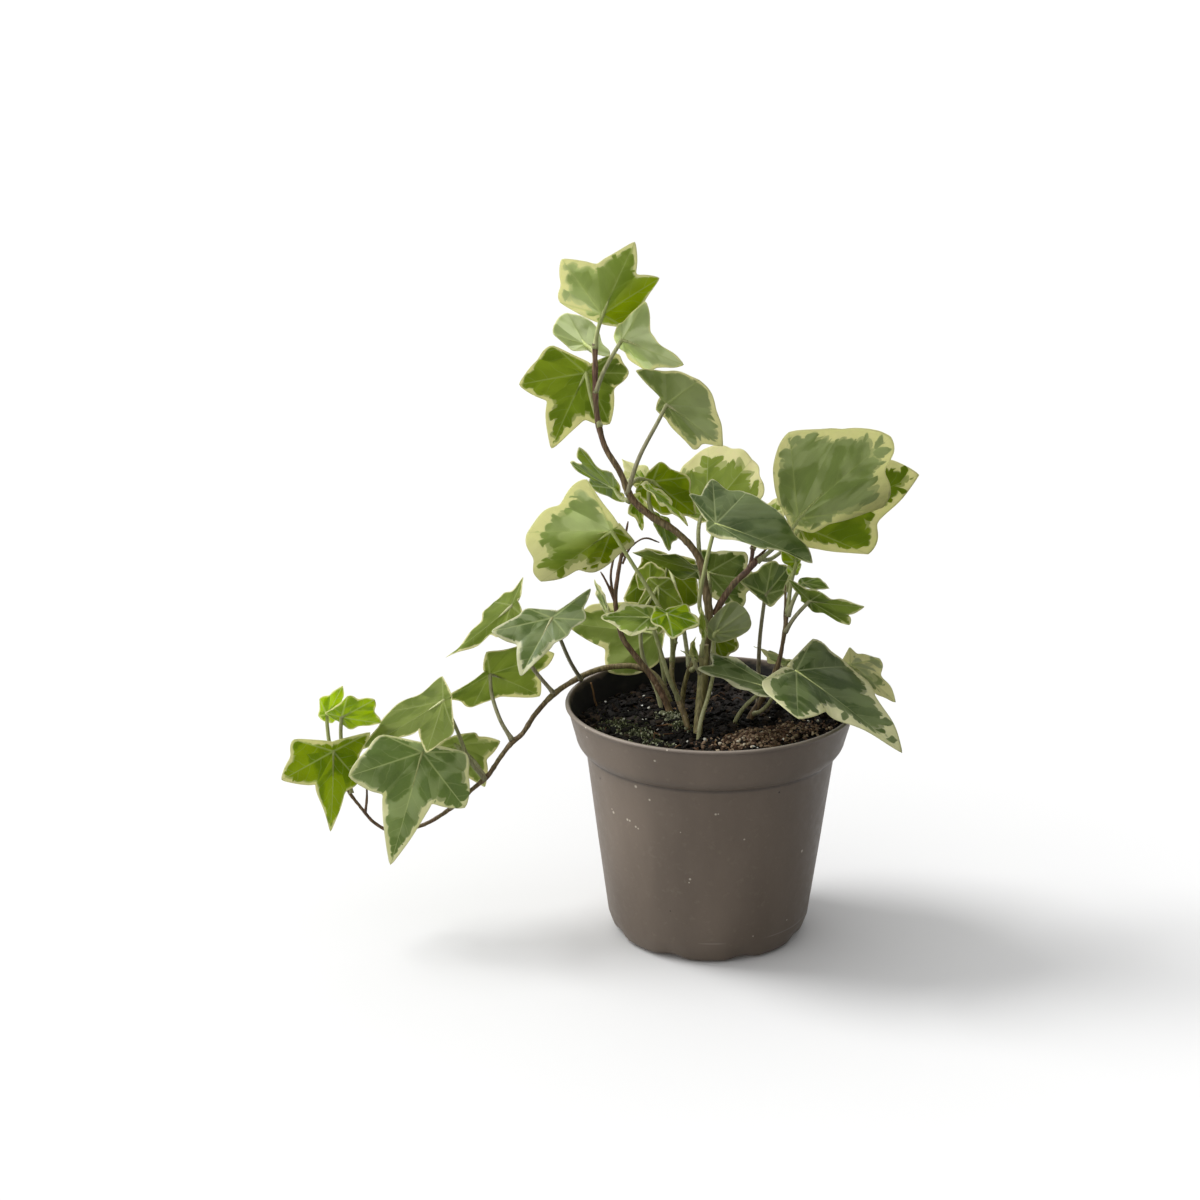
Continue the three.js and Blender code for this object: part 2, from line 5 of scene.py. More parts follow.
import bmesh
import bpy
import numpy as np
from mathutils import Matrix, Vector, noise


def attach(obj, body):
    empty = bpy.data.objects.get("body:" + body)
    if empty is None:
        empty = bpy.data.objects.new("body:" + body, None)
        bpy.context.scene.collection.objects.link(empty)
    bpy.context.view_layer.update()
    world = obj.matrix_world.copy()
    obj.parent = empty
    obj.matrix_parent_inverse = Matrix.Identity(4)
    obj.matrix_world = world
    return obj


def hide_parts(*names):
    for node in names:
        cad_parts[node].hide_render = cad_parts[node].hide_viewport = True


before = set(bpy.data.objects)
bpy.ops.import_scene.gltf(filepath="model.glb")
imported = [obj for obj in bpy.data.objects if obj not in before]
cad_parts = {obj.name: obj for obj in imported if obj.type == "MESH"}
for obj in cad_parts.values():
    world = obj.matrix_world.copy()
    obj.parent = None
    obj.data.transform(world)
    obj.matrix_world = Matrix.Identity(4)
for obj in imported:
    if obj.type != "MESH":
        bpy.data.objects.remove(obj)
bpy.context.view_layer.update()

bl_info = {
    "name": "Potted Ivy",
    "version": (1, 0, 0),
    "blender": (4, 5, 0),
    "location": "3D View > Sidebar > Potted Ivy",
    "description": "Builds a variegated ivy in a nursery pot on its packed frame",
    "category": "Add Mesh",
}

MM = 0.001                      # the plant's tables are in millimetres
MERGE = 0.0005                  # vertices nearer than this are one, in the unit of their mesh
UP = Vector((0, 0, 1))

# ---- camera and stage ---------------------------------------------------------------------
CAMERA_PLACE = (0.0, -0.927184, 0.426607)
CAMERA_YAW = 2.826              # degrees to the left of straight ahead
CAMERA_DOWN = 16.995            # degrees below level
CAMERA_LENS = 71.25             # in millimetres
CAMERA_SENSOR = 36.0
FLOOR_HALF = 40.0               # half the floor's side, in metres

# ---- plant tables, as in the solid model --------------------------------------------------
NOTCH = 0.8                     # depth of the bays between lobes, 1 is a straight edge
BASE_NOTCH = 4.0                # distance from the stalk to the bay behind it
BASE_SHARE = 0.2                # the most it may be of the leaf's length
LOBE_BULGE = 1.06               # how far a lobe's edge swells past a straight line

SHOOTS = {}
LEAVES = []


def shoot(name, slot, rods, start, end, slim=0.84):
    """Notes a shoot: rods of points with radii at both ends, how green it is, and its bark's slimness."""
    SHOOTS[name] = {"slot": slot, "rods": rods, "green": (start, end), "slim": slim}


def leaf(name, shoot, at, pose, lobes, stalk, slot, cream, grey, lime, green, **shape):
    """Notes a leaf: its place and turn, its lobes as angle and length, its stalk and its colouring."""
    plan = {"name": name, "shoot": shoot, "at": at, "pose": pose, "lobes": lobes, "stalk": stalk,
            "slot": slot, "cream": cream, "grey": grey, "lime": lime, "green": green,
            "longest": max(length for _, length in lobes),
            "bays": None, "notch": NOTCH, "blunt": 1.0, "fold": 4, "droop": 8}
    plan.update(shape)
    LEAVES.append(plan)


shoot("main_stem", "bark", [[[
    (-4, 0, 84), (-4, 0, 92), (-3, 1, 105), (-2, 1, 120), (-1, 0, 135), (-3, 0, 150), (-6, 0, 162),
    (-15, 1, 172), (-25, 2, 178), (-33, 3, 185), (-38, 4, 196), (-44, 5, 206), (-47, 6, 217),
    (-48, 6, 230), (-48, 6, 240), (-48, 5, 248)], 2.1, 1.2]], 0.75, 0.0)
shoot("cut_trunk", "green_stem", [[[
    (-5, -13, 84), (-5, -12, 92), (-4, -8, 106), (-3, -6, 118), (-3, -5, 126)], 2.2, 2.3]], 0.7, 0.9)
shoot("crossing_shoot", "green_stem", [[[
    (-12, 10, 84), (-12, 9, 94), (-11, 7, 104), (-9, 5, 112), (-7, 4, 117)], 1.5, 1.0]], 0.6, 0.8)
shoot("snapped_branch", "bark", [
    [[(1, 1, 137), (4, 1, 143), (9, 0, 151), (14, 0, 156), (18, 0, 161)], 1.7, 1.4],
    [[(11, 0, 153), (15, 1, 158), (16, 1, 163), (16, 1, 168)], 1.2, 0.7],
    [[(17, 0, 160), (20, 2, 163), (22, 3, 165)], 1.2, 0.5]], 0.15, 0.05)
shoot("left_stem", "bark", [
    [[(-16, 8, 84), (-17, 8, 92), (-23, 10, 104), (-33, 12, 117), (-37, 12, 123), (-40, 12, 139),
      (-39, 12, 150), (-37, 12, 161)], 1.9, 0.9],
    [[(-40, 12, 138), (-43, 11, 146), (-46, 10, 152)], 0.8, 0.5],
    [[(-40, 12, 137), (-42, 14, 149), (-40, 15, 160)], 0.8, 0.5],
    [[(-37, 12, 158), (-36, 14, 166), (-35, 16, 172)], 0.8, 0.5],
    [[(-37, 12, 155), (-34, 11, 162), (-28, 12, 166), (-22, 13, 164)], 0.6, 0.4]], 0.3, 0.15)
shoot("leaning_shoot", "green_stem", [[[
    (-9, -9, 84), (-10, -6, 93), (-13, -3, 101), (-16, 0, 109), (-16, 1, 117), (-15, 2, 127)],
    1.7, 1.1]], 0.35, 0.75)
shoot("right_stem", "bark", [
    [[(14, 2, 84), (16, 2, 91), (21, 3, 100), (25, 4, 108), (28, 4, 117), (30, 4, 130), (31, 4, 139)],
     1.7, 0.8],
    [[(30, 4, 129), (30, 6, 140), (30, 8, 148)], 0.8, 0.5]], 0.25, 0.35)
shoot("trailing_stem", "green_stem", [
    [[(-16, 22, 84), (-18, 23, 93), (-24, 26, 102), (-32, 28, 105), (-40, 28, 105), (-48, 26, 104),
      (-56, 22, 101.5), (-66, 17, 96), (-74, 12, 88), (-79, 8, 81), (-83, 6, 78), (-88, 3, 72),
      (-93, 0, 65), (-99, -2, 60), (-108, -4, 52), (-121, -5, 44), (-134, -6, 42), (-141, -6, 46),
      (-145, -6, 51), (-151, -5, 59), (-155, -4, 68)], 1.9, 0.8],
    [[(-144, -6, 50), (-143, -7, 58), (-143, -7, 64)], 0.8, 0.5]], 0.7, 0.1, slim=0.74)

# tone makes a leaf, or each of its lobes, paler or deeper: partly its own tone, partly painted light and
# shade for how light falls on it.
# upper shoot
leaf("crown_leaf", "main_stem", [-45, 4, 260], [-20, 65, -55],
     [[-95, 18], [-57, 29], [0, 33], [37, 27], [103, 11]], [[-48, 5, 246], [-47, 5, 253]],
     blunt=1.4, bays=[20, 20, 20, 14], slot="leaf_pale", tone=[1.65, 1.5, 1.0, 0.8, 0.85],
     cream=[3, 2, 1.2, 0.6, 0.4], grey=0.85, lime=[0, 0.1, 0.6, 1, 1], green=0.9)
leaf("crown_back_leaf", "main_stem", [-53, 22, 244], [120, 35, -160],
     [[-120, 9], [-75, 15], [0, 19], [70, 15], [120, 9]], [[-48, 6, 237], [-49, 13, 243]],
     notch=0.97, blunt=2.5, bays=[9, 15, 22, 14], slot="leaf_pale", tone=1.45,
     cream=[0.2, 0.2, 0.2, 0.2, 0.2], grey=1, lime=0, green=0.8)
leaf("upper_left_leaf", "main_stem", [-52, 11, 235], [180, -65, 70],
     [[-146, 15], [-110, 18], [-50, 27], [0, 35], [58, 28], [108, 19]], [[-46, 5, 214], [-50, 9, 226]],
     blunt=1.8, bays=[15, 15, 20, 19, 20], slot="leaf_pale", tone=[0.95, 0.95, 0.95, 1.05, 1, 1.0],
     cream=[0.9, 1.4, 1.0, 2.4, 0.9, 0.6], grey=0.12, lime=[0.1, 0.1, 0.3, 0.5, 0.6, 0.6], green=0.9)
leaf("upper_right_leaf", "main_stem", [-37, 4, 250], [-25, -15, -65],
     [[-110, 7], [-68, 24], [3, 28], [54, 17], [110, 7]], [[-48, 6, 228], [-44, 4, 238], [-39, 3, 247]],
     bays=[9, 14, 17, 7], slot="leaf_pale", tone=[1.8, 1.5, 1.3, 1.9, 2.1],
     cream=[0.2, 0.2, 0.6, 1.4, 0.3], grey=1, lime=0, green=0.45)
leaf("shoulder_leaf", "main_stem", [-19, 0, 225], [-15, -35, -60],
     [[-160, 19], [-75, 22], [0, 28], [37, 23], [110, 8]], [[-35, 3, 187], [-30, 0, 203], [-22, -1, 219]],
     bays=[16, 23, 21, 9], slot="leaf_pale", tone=[0.95, 0.95, 1.1, 1.1, 0.95],
     cream=[0.7, 0.9, 3.4, 2.4, 0.3], grey=0.6, lime=[0.2, 0.1, 0, 0, 0.1], green=0.25)
# middle, left of the main stem
leaf("left_young_leaf", "main_stem", [-41, 16, 186], [140, 15, -127],
     [[-110, 17], [-61, 24], [0, 26], [25, 18], [110, 9]], [[-34, 3, 184], [-38, 9, 184]],
     bays=[12, 16, 15, 8], slot="leaf_dark", tone=0.95,
     cream=[0.3, 0.3, 0.3, 0.4, 0.4], grey=0, lime=0.75, green=0.8)
leaf("left_broad_leaf", "leaning_shoot", [-41, -2, 173], [160, -40, 47],
     [[-100, 12], [-32, 27], [0, 41], [46, 34], [117, 33]],
     [[-15, 2, 124], [-19, -1, 136], [-30, -2, 155]],
     blunt=1.5, bays=[15, 27, 34, 26], slot="leaf_pale", tone=[0.6, 0.54, 0.66, 1.45, 1.55],
     cream=[0.8, 3.2, 6.2, 4.4, 3], grey=0.95, lime=[1, 1, 0.85, 0.15, 0], green=0.8)
leaf("behind_stem_leaf", "main_stem", [-29, 31, 185], [150, 38, 0],
     [[-110, 7], [-58, 10], [0, 14], [65, 12], [115, 8]], [[-34, 3, 186], [-35, 12, 189], [-34, 22, 188]],
     notch=0.88, slot="leaf_dark", tone=1.3, cream=[2, 2.5, 3.5, 2.5, 2], grey=0.2, lime=0.8, green=0.7)
leaf("curled_stem_leaf", "main_stem", [-26, 3, 189], [-10, -42, -6],
     [[-110, 7], [-60, 12], [0, 22], [52, 14], [110, 7]], [[-24, 2, 177], [-26, 4, 183]],
     slot="leaf_dark", tone=1.35, cream=[1.2, 1.8, 2.2, 1.8, 1.2], grey=0.3, lime=0.8, green=0.6)
leaf("hanging_leaf_left", "main_stem", [-32, 12, 182], [-35, -74, -10],
     [[-115, 6], [-66, 10], [0, 13], [60, 10], [115, 6]], [[-29, 2, 181], [-31, 8, 183]],
     slot="leaf_dark", tone=1.25, cream=[0.8, 1, 1.4, 1, 0.8], grey=0.2, lime=0.8, green=0.7)
leaf("hanging_leaf_right", "main_stem", [-21, 14, 173], [-72, -50, -45],
     [[-115, 6], [-62, 11], [0, 14], [62, 11], [115, 6]], [[-20, 1, 175], [-21, 8, 176]],
     notch=0.9, slot="leaf_dark", tone=1.05,
     cream=[0.3, 0.4, 0.4, 0.4, 0.3], grey=0.15, lime=0.6, green=0.7)
# middle, right of the main stem
leaf("middle_dark_leaf", "main_stem", [-25, 20, 188], [0, -38, -90],
     [[-110, 9], [-45, 15], [0, 23], [38, 15], [110, 9]], [[-35, 3, 189], [-31, 12, 191]],
     notch=0.92, blunt=1.8, slot="leaf_pale", tone=0.8,
     cream=[0.3, 0.4, 0.4, 0.4, 0.3], grey=0, lime=0.9, green=0.6)
leaf("middle_backlit_leaf", "main_stem", [-3, 24, 173], [50, 45, -175],
     [[-95, 16], [-60, 28], [-30, 36], [10, 31], [50, 25], [100, 10]],
     [[-5, 0, 158], [-6, 8, 170], [-5, 17, 174]],
     bays=[21, 31, 33, 27, 15], slot="leaf_bright", tone=0.78,
     cream=[0.8, 1.6, 4.6, 5.6, 2.2, 1], grey=0.15, lime=0.5, green=0.6)
leaf("long_front_leaf", "main_stem", [1, -12, 179], [-5, -20, 12],
     [[-110, 8], [-30, 20], [0, 42], [76, 30], [103, 34], [136, 20]],
     [[-1, 0, 132], [-5, -5, 142], [-3, -9, 160]],
     bays=[9, 24, 33, 29, 19], slot="leaf_dark", tone=[1.2, 1.1, 0.85, 0.95, 1.05, 1.1],
     cream=[0.35, 0.9, 0.5, 0.4, 0.4, 0.4], grey=0.45, lime=0, green=0.75)
leaf("right_broad_leaf", "snapped_branch", [34, 5, 177], [5, 45, -53],
     [[-90, 15], [-58, 45], [5, 50], [57, 47], [95, 13]], [[18, 0, 160], [25, 1, 166], [31, 3, 172]],
     bays=[32, 43, 43, 21], slot="leaf_pale", tone=[1, 1.02, 1.05, 1, 1],
     cream=[1.4, 3, 5.6, 4.2, 1.2], grey=0.66, lime=0, green=0.7)
leaf("right_rear_leaf", "snapped_branch", [36, 28, 168], [9, 22, -83],
     [[-90, 12], [-45, 30], [0, 54], [49, 35], [113, 8]], [[18, 1, 161], [24, 12, 158], [32, 23, 162]],
     bays=[20, 40, 33, 13], slot="leaf_pale", tone=0.85,
     cream=[1.6, 2, 3.2, 2.4, 2.4], grey=0.05, lime=[0.5, 0.5, 0.5, 0.5, 0.5], green=0.6)
leaf("rear_cream_leaf", "snapped_branch", [25, 14, 176], [80, 49, -172],
     [[-110, 4], [-53, 6], [0, 8], [50, 6], [110, 4]], [[16, 1, 165], [20, 7, 171]],
     notch=0.97, blunt=2.5, slot="leaf_pale", tone=1.1,
     cream=[2.5, 2.5, 2.5, 2.5, 2.5], grey=0.5, lime=0.5, green=0.6)
leaf("bud_leaf_upper", "right_stem", [34, 5, 159], [152, 33, -106],
     [[-110, 4], [-56, 7], [0, 8], [45, 7], [110, 4]], [[31, 4, 137], [32, 7, 148]],
     notch=1.0, blunt=3, slot="leaf_dark", tone=1.15,
     cream=[0.2, 0.2, 0.2, 0.2, 0.2], grey=0, lime=1, green=0.8)
leaf("bud_leaf_lower", "right_stem", [33, 9, 153], [73, 58, -23],
     [[-110, 3], [-50, 5], [0, 6], [45, 5], [110, 3]], [[30, 8, 145], [31, 9, 149]],
     notch=1.0, blunt=3, slot="leaf_dark", tone=1.15,
     cream=[0.2, 0.2, 0.2, 0.2, 0.2], grey=0, lime=1, green=0.8)
leaf("folded_right_leaf", "right_stem", [40, 3, 143], [-25, 2, 135],
     [[-100, 9], [-47, 20], [0, 24], [50, 14], [102, 19]], [[30, 4, 129], [34, 3, 136]],
     slot="leaf_dark", tone=1.1, cream=[0.5, 0.7, 0.9, 0.7, 0.5], grey=0.4, lime=0.35, green=0.3)
leaf("small_grey_leaf", "right_stem", [37, 4, 150], [-7, -8, 6],
     [[-110, 5], [-48, 8], [0, 11], [55, 9], [110, 5]], [[31, 4, 136], [34, 3, 145]],
     notch=0.97, blunt=1.8, slot="leaf_dark", tone=1.15,
     cream=[0.4, 0.5, 0.5, 0.5, 0.4], grey=0.6, lime=0.3, green=0.5)
leaf("stalked_dark_leaf", "soil", [22, 11, 143], [45, 35, 78],
     [[-110, 6], [-32, 13], [0, 16], [38, 14], [114, 16]], [[20, 24, 86], [20, 22, 96], [20, 14, 122]],
     notch=0.95, blunt=1.5, slot="leaf_dark", tone=0.95,
     cream=[0.6, 0.5, 0.4, 0.4, 0.4], grey=0.4, lime=0.1, green=0.1)
# front right, over the rim
leaf("front_broad_leaf", "soil", [34, -22, 121], [-25, -30, 0],
     [[-100, 26], [-65, 43], [0, 54], [67, 33], [103, 28]],
     [[8, 0, 86], [13, -2, 97], [22, -7, 108], [30, -14, 117]],
     bays=[34, 25, 35, 28], slot="leaf_dark", tone=[1, 0.95, 0.85, 0.9, 1],
     cream=[2.8, 1.6, 5, 2, 0.8], grey=0.46, lime=0, green=0.6)
leaf("front_low_leaf", "right_stem", [26, -22, 113], [169, 10, -21],
     [[-100, 6], [-36, 10], [-22, 32], [0, 33], [28, 11], [100, 6]],
     [[18, 2, 94], [21, -8, 99], [24, -17, 106]],
     bays=[7, 20, 27, 17, 8], slot="leaf_dark", tone=0.8,
     cream=[0.5, 0.5, 0.6, 0.8, 0.9, 0.5], grey=0.6, lime=0.1, green=0.5)
leaf("right_low_leaf", "soil", [58, 12, 113], [-30, -30, -60],
     [[-110, 10], [-57, 19], [0, 25], [62, 20], [110, 10]], [[27, 20, 86], [30, 19, 96], [45, 15, 109]],
     slot="leaf_pale", tone=0.85, cream=[4, 4, 5, 5, 4], grey=1, lime=0, green=0.6)
leaf("rim_leaf", "right_stem", [33, 18, 111], [175, 25, -149],
     [[-110, 7], [-37, 13], [0, 17], [59, 14], [110, 8]], [[27, 4, 113], [30, 11, 111]],
     slot="leaf_dark", tone=0.9, cream=[2, 2, 3, 2, 2], grey=1, lime=0, green=0.5)
# centre
leaf("centre_variegated_leaf", "leaning_shoot", [-25, -14, 140], [-177, 0, -17],
     [[-110, 8], [-43, 13], [0, 20], [60, 17], [110, 9]],
     [[-13, -3, 101], [-17, -8, 112], [-22, -12, 130]],
     notch=0.93, blunt=1.6, slot="leaf_bright", tone=1.15,
     cream=[1.5, 1.6, 1.6, 1.8, 1.5], grey=0.45, lime=0.45, green=0.6)
leaf("centre_bright_leaf", "leaning_shoot", [-18, -18, 143], [-78, -25, -10],
     [[-130, 6], [-55, 10], [0, 15], [66, 14], [130, 12]],
     [[-16, 1, 117], [-16, -7, 128], [-17, -14, 138]],
     notch=0.93, blunt=1.8, slot="leaf_bright", tone=1.3,
     cream=[0.4, 0.5, 0.6, 0.7, 0.5], grey=0, lime=1, green=0.8)
leaf("centre_dark_leaf", "main_stem", [-6, 11, 153], [163, 12, -145],
     [[-110, 10], [-72, 21], [0, 29], [64, 19], [110, 6]], [[-2, 1, 144], [-4, 8, 149]],
     notch=0.9, slot="leaf_dark", tone=0.72,
     cream=[0.3, 0.4, 0.5, 0.4, 0.3], grey=0.1, lime=0.35, green=0.5)
leaf("centre_curled_leaf", "leaning_shoot", [-26, 25, 142], [93, 73, 150],
     [[-110, 6], [-53, 9], [0, 10], [53, 9], [110, 6]], [[-15, 2, 126], [-22, 14, 134]],
     notch=1.0, blunt=3, slot="leaf_pale", tone=0.95,
     cream=[0.4, 0.4, 0.5, 0.4, 0.4], grey=0.1, lime=0.5, green=0.5)
leaf("centre_deep_leaf", "crossing_shoot", [-19, 45, 146], [180, -80, 104],
     [[-110, 12], [-52, 21], [0, 31], [39, 27], [110, 12]],
     [[-9, 5, 113], [-13, 20, 132], [-17, 36, 143]],
     notch=0.9, slot="leaf_dark", tone=0.7, cream=[0.4, 0.5, 0.6, 0.5, 0.4], grey=0, lime=0.5, green=0.5)
leaf("centre_arched_leaf", "soil", [-22, 13, 145], [-87, -74, -127],
     [[-115, 9], [-62, 16], [0, 20], [62, 17], [115, 9]],
     [[-20, 14, 86], [-22, 16, 96], [-29, 19, 114], [-29, 19, 130]],
     notch=0.95, blunt=2, slot="leaf_pale", tone=0.76,
     cream=[0.4, 0.4, 0.5, 0.4, 0.4], grey=0.05, lime=0.4, green=0.5)
leaf("centre_right_leaf", "main_stem", [-2, 21, 149], [-27, 0, 87],
     [[-110, 10], [-38, 21], [0, 22], [34, 21], [110, 10]], [[-1, 0, 138], [-1, 10, 146]],
     notch=0.92, slot="leaf_dark", tone=0.8,
     cream=[0.5, 2.8, 2.2, 1.2, 0.4], grey=0.3, lime=0.2, green=0.5)
leaf("round_grey_leaf", "soil", [1, -6, 131], [9, 35, -114],
     [[-90, 5], [-30, 15], [0, 16], [26, 15], [45, 9], [110, 4]],
     [[-5, -20, 86], [-4, -18, 97], [-1, -11, 106], [1, -6, 115], [1, -5, 124]],
     notch=1.04, blunt=5, slot="leaf_dark", tone=0.85,
     cream=[0.1, 0.1, 0.1, 0.1, 0.1, 0.1], grey=0.7, lime=0, green=0.5)
leaf("low_green_leaf", "main_stem", [1, 19, 122], [10, -28, -121],
     [[-110, 6], [-38, 11], [0, 12], [44, 11], [110, 6]], [[-2, 1, 112], [0, 9, 117]],
     notch=0.93, slot="leaf_bright", tone=0.75,
     cream=[0.5, 0.8, 1.2, 0.6, 0.4], grey=0, lime=0.5, green=0.5)
leaf("back_left_leaf", "soil", [-24, 37, 117], [177, 5, 112],
     [[-105, 12], [-47, 26], [0, 40], [22, 27], [100, 10]], [[-20, 33, 86], [-20, 33, 98]],
     bays=[18, 22, 32, 14], slot="leaf_bright", tone=[1.2, 1.2, 1.1, 1, 0.9],
     cream=[0.5, 0.7, 2.2, 2.4, 1], grey=0.45, lime=[0.3, 0.3, 0.3, 0.5, 0.5], green=0.6)
leaf("dry_scale_leaf", "cut_trunk", [-7, -11, 122], [-150, 35, 0],
     [[-90, 2], [-30, 4], [0, 8], [30, 4], [90, 2]], [[-4, -7, 114], [-6, -10, 118]],
     slot="leaf_pale", tone=0.9, cream=[1, 1, 1, 1, 1], grey=1, lime=0, green=0.3)
leaf("edge_leaf_upper", "cut_trunk", [-3, -9, 132], [180, 83, 165],
     [[-110, 3], [-50, 7], [0, 12], [50, 7], [110, 3]], [[-3, -5, 120], [-4, -10, 125]],
     notch=1.0, blunt=2, slot="leaf_bright", tone=1.0,
     cream=[1, 1.2, 1.4, 1.2, 1], grey=0.3, lime=0.6, green=0.6)
leaf("edge_leaf_lower", "crossing_shoot", [-6, 2, 118], [180, 88, 165],
     [[-110, 3], [-50, 6], [0, 10], [50, 6], [110, 3]], [[-8, 4, 112], [-7, 1, 114]],
     notch=1.0, blunt=2, droop=70, slot="leaf_bright", tone=1.0,
     cream=[1.6, 2, 2, 2, 1.6], grey=0.3, lime=0.5, green=0.6)
leaf("pale_young_leaf", "left_stem", [-44, 15, 135], [140, 60, -118],
     [[-110, 4], [-60, 9], [0, 13], [40, 8], [110, 4]], [[-39, 12, 131], [-42, 14, 132]],
     notch=0.95, blunt=1.6, slot="leaf_bright", tone=1.1,
     cream=[1.6, 2, 2.2, 2, 1.6], grey=0.2, lime=0.5, green=0.7)
# trailing shoot
leaf("trail_leaf_1", "trailing_stem", [-82, 2, 139], [175, -40, 155],
     [[-110, 8], [-45, 14], [0, 38], [60, 26], [112, 19]], [[-66, 17, 96], [-76, 11, 112], [-81, 5, 130]],
     blunt=2.2, fold=11, bays=[7, 14, 19, 14], slot="leaf_pale", tone=0.88,
     cream=[0.3, 0.4, 0.5, 0.4, 0.4], grey=0.15, lime=0.35, green=0.2)
leaf("trail_leaf_2", "trailing_stem", [-65, -7, 137], [-120, -40, -20],
     [[-90, 11], [-50, 26], [0, 30], [60, 11], [108, 14], [157, 22]], [[-55, 22, 101], [-59, 11, 113]],
     blunt=1.8, bays=[13, 18, 12, 9, 13], slot="leaf_dark", tone=0.98,
     cream=[0.2, 0.8, 1.5, 0.3, 0.4, 0.6], grey=0.9, lime=0, green=0.2)
leaf("trail_leaf_3", "trailing_stem", [-93, 16, 105], [45, -30, -50],
     [[-141, 15], [-50, 29], [0, 32], [60, 26], [98, 24]], [[-83, 6, 79], [-88, 8, 87], [-92, 13, 97]],
     bays=[18, 23, 20, 21], slot="leaf_pale", tone=0.95,
     cream=[0.5, 1.4, 1.8, 0.8, 0.5], grey=0.2, lime=0.35, green=0.3)
leaf("trail_leaf_4", "trailing_stem", [-110, -6, 100], [-167, -28, 173],
     [[-87, 22], [-62, 32], [0, 39], [40, 30], [98, 24]], [[-94, -1, 64], [-100, -5, 74], [-105, -6, 88]],
     bays=[25, 16, 31, 25], slot="leaf_pale", tone=0.75,
     cream=[0.4, 0.6, 0.5, 0.4, 0.4], grey=0.25, lime=0.35, green=0.4)
leaf("trail_leaf_5", "trailing_stem", [-118, -18, 82], [-149, -72, -67],
     [[-101, 18], [-58, 32], [0, 51], [52, 30], [106, 18]],
     [[-108, -4, 52], [-111, -8, 64], [-116, -14, 75]],
     blunt=1.9, bays=[22, 23, 21, 21], slot="leaf_dark", tone=[1.3, 1.3, 1.3, 1.35, 1.2],
     cream=[0.5, 1.1, 1.5, 2.2, 0.9], grey=0.72, lime=0, green=0.5)
leaf("trail_leaf_6", "trailing_stem", [-107, 8, 76], [3, -58, -84],
     [[-94, 10], [-62, 19], [0, 23], [60, 15], [110, 9]], [[-94, 0, 64], [-99, 4, 70]],
     slot="leaf_pale", tone=1.05, cream=[0.7, 1.4, 1.4, 0.7, 0.7], grey=0.55, lime=0.4, green=0.4)
leaf("trail_leaf_7", "trailing_stem", [-156, -11, 79], [-95, -74, -52],
     [[-105, 23], [-69, 30], [0, 34], [45, 18], [112, 21]], [[-154, -4, 66], [-156, -7, 75]],
     blunt=1.5, bays=[22, 16, 18, 13], slot="leaf_dark", tone=0.95,
     cream=[1.4, 1.0, 0.7, 0.5, 0.8], grey=0, lime=0.9, green=0.5)
leaf("trail_leaf_8", "trailing_stem", [-160, 0, 91], [42, 54, 105],
     [[-110, 6], [-67, 11], [0, 14], [67, 11], [110, 6]], [[-153, -3, 63], [-159, 1, 76]],
     notch=0.9, slot="leaf_dark", tone=1.7, cream=[0.3, 0.3, 0.3, 0.3, 0.3], grey=0, lime=1, green=0.7)
leaf("trail_leaf_9", "trailing_stem", [-153, -5, 92], [-14, 33, 130],
     [[-110, 8], [-54, 17], [0, 18], [40, 15], [110, 8]],
     [[-150, -5, 58], [-153, -1, 70], [-154, -2, 82]],
     notch=0.88, slot="leaf_dark", tone=1.5, cream=[0.4, 0.4, 0.5, 0.4, 0.4], grey=0, lime=1, green=0.5)

# ---- colours and materials ----------------------------------------------------------------
def colour(code):
    """A linear colour from an sRGB code such as 6a6058."""
    channels = [int(code[k:k + 2], 16) / 255 for k in (0, 2, 4)]
    linear = [c / 12.92 if c <= 0.04045 else ((c + 0.055) / 1.055) ** 2.4 for c in channels]
    return (*linear, 1.0)


def feed(tree, node, inputs):
    """Sets or links a node's inputs; a node as the source stands for its first working output."""
    for key, value in inputs.items():
        if isinstance(value, bpy.types.Node):
            value = next(output for output in value.outputs if output.enabled)
        if isinstance(value, bpy.types.NodeSocket):
            tree.links.new(value, node.inputs[key])
        else:
            node.inputs[key].default_value = value


def add(tree, kind, inputs=None, **options):
    """Adds a node with its options and its inputs."""
    node = tree.nodes.new(kind)
    for key, value in options.items():
        setattr(node, key, value)
    feed(tree, node, inputs or {})
    return node


def ramp(tree, factor, stops):
    """Adds a colour ramp with a colour code at each place."""
    made = add(tree, "ShaderNodeValToRGB", {0: factor})
    bar = made.color_ramp
    while len(bar.elements) < len(stops):
        bar.elements.new(0.5)
    for element, (place, code) in zip(bar.elements, stops):
        element.position = place
        element.color = colour(code)
    return made


def new_material(name):
    """A material with its node tree and its Principled shader."""
    made = bpy.data.materials.new(name)
    made.use_nodes = True
    tree = made.node_tree
    return made, tree, tree.nodes["Principled BSDF"]


def object_pattern(tree, size_mm, stretch=(1, 1, 1)):
    """Object coordinates scaled so that one unit of the pattern is size_mm across."""
    place = add(tree, "ShaderNodeTexCoord").outputs["Object"]
    scale = [1 / (size_mm * MM * s) for s in stretch]
    return add(tree, "ShaderNodeMapping", {0: place, 3: scale})


def object_height(tree):
    """The height above the surface that the pot stands on, in metres."""
    place = add(tree, "ShaderNodeTexCoord").outputs["Object"]
    return add(tree, "ShaderNodeSeparateXYZ", {0: place}).outputs["Z"]


# ---- shapes -------------------------------------------------------------------------------
def piece(name, bm, materials, nodes=(), smooth=True):
    """Turns a bmesh into a finished object at the origin that rides on the frame."""
    mesh = bpy.data.meshes.new(name)
    bm.to_mesh(mesh)
    bm.free()
    mesh.polygons.foreach_set("use_smooth", [smooth] * len(mesh.polygons))
    for material in materials:
        mesh.materials.append(material)
    made = bpy.data.objects.new(name, mesh)
    bpy.context.scene.collection.objects.link(made)
    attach(made, "root")
    if nodes:
        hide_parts(*nodes)
    return made


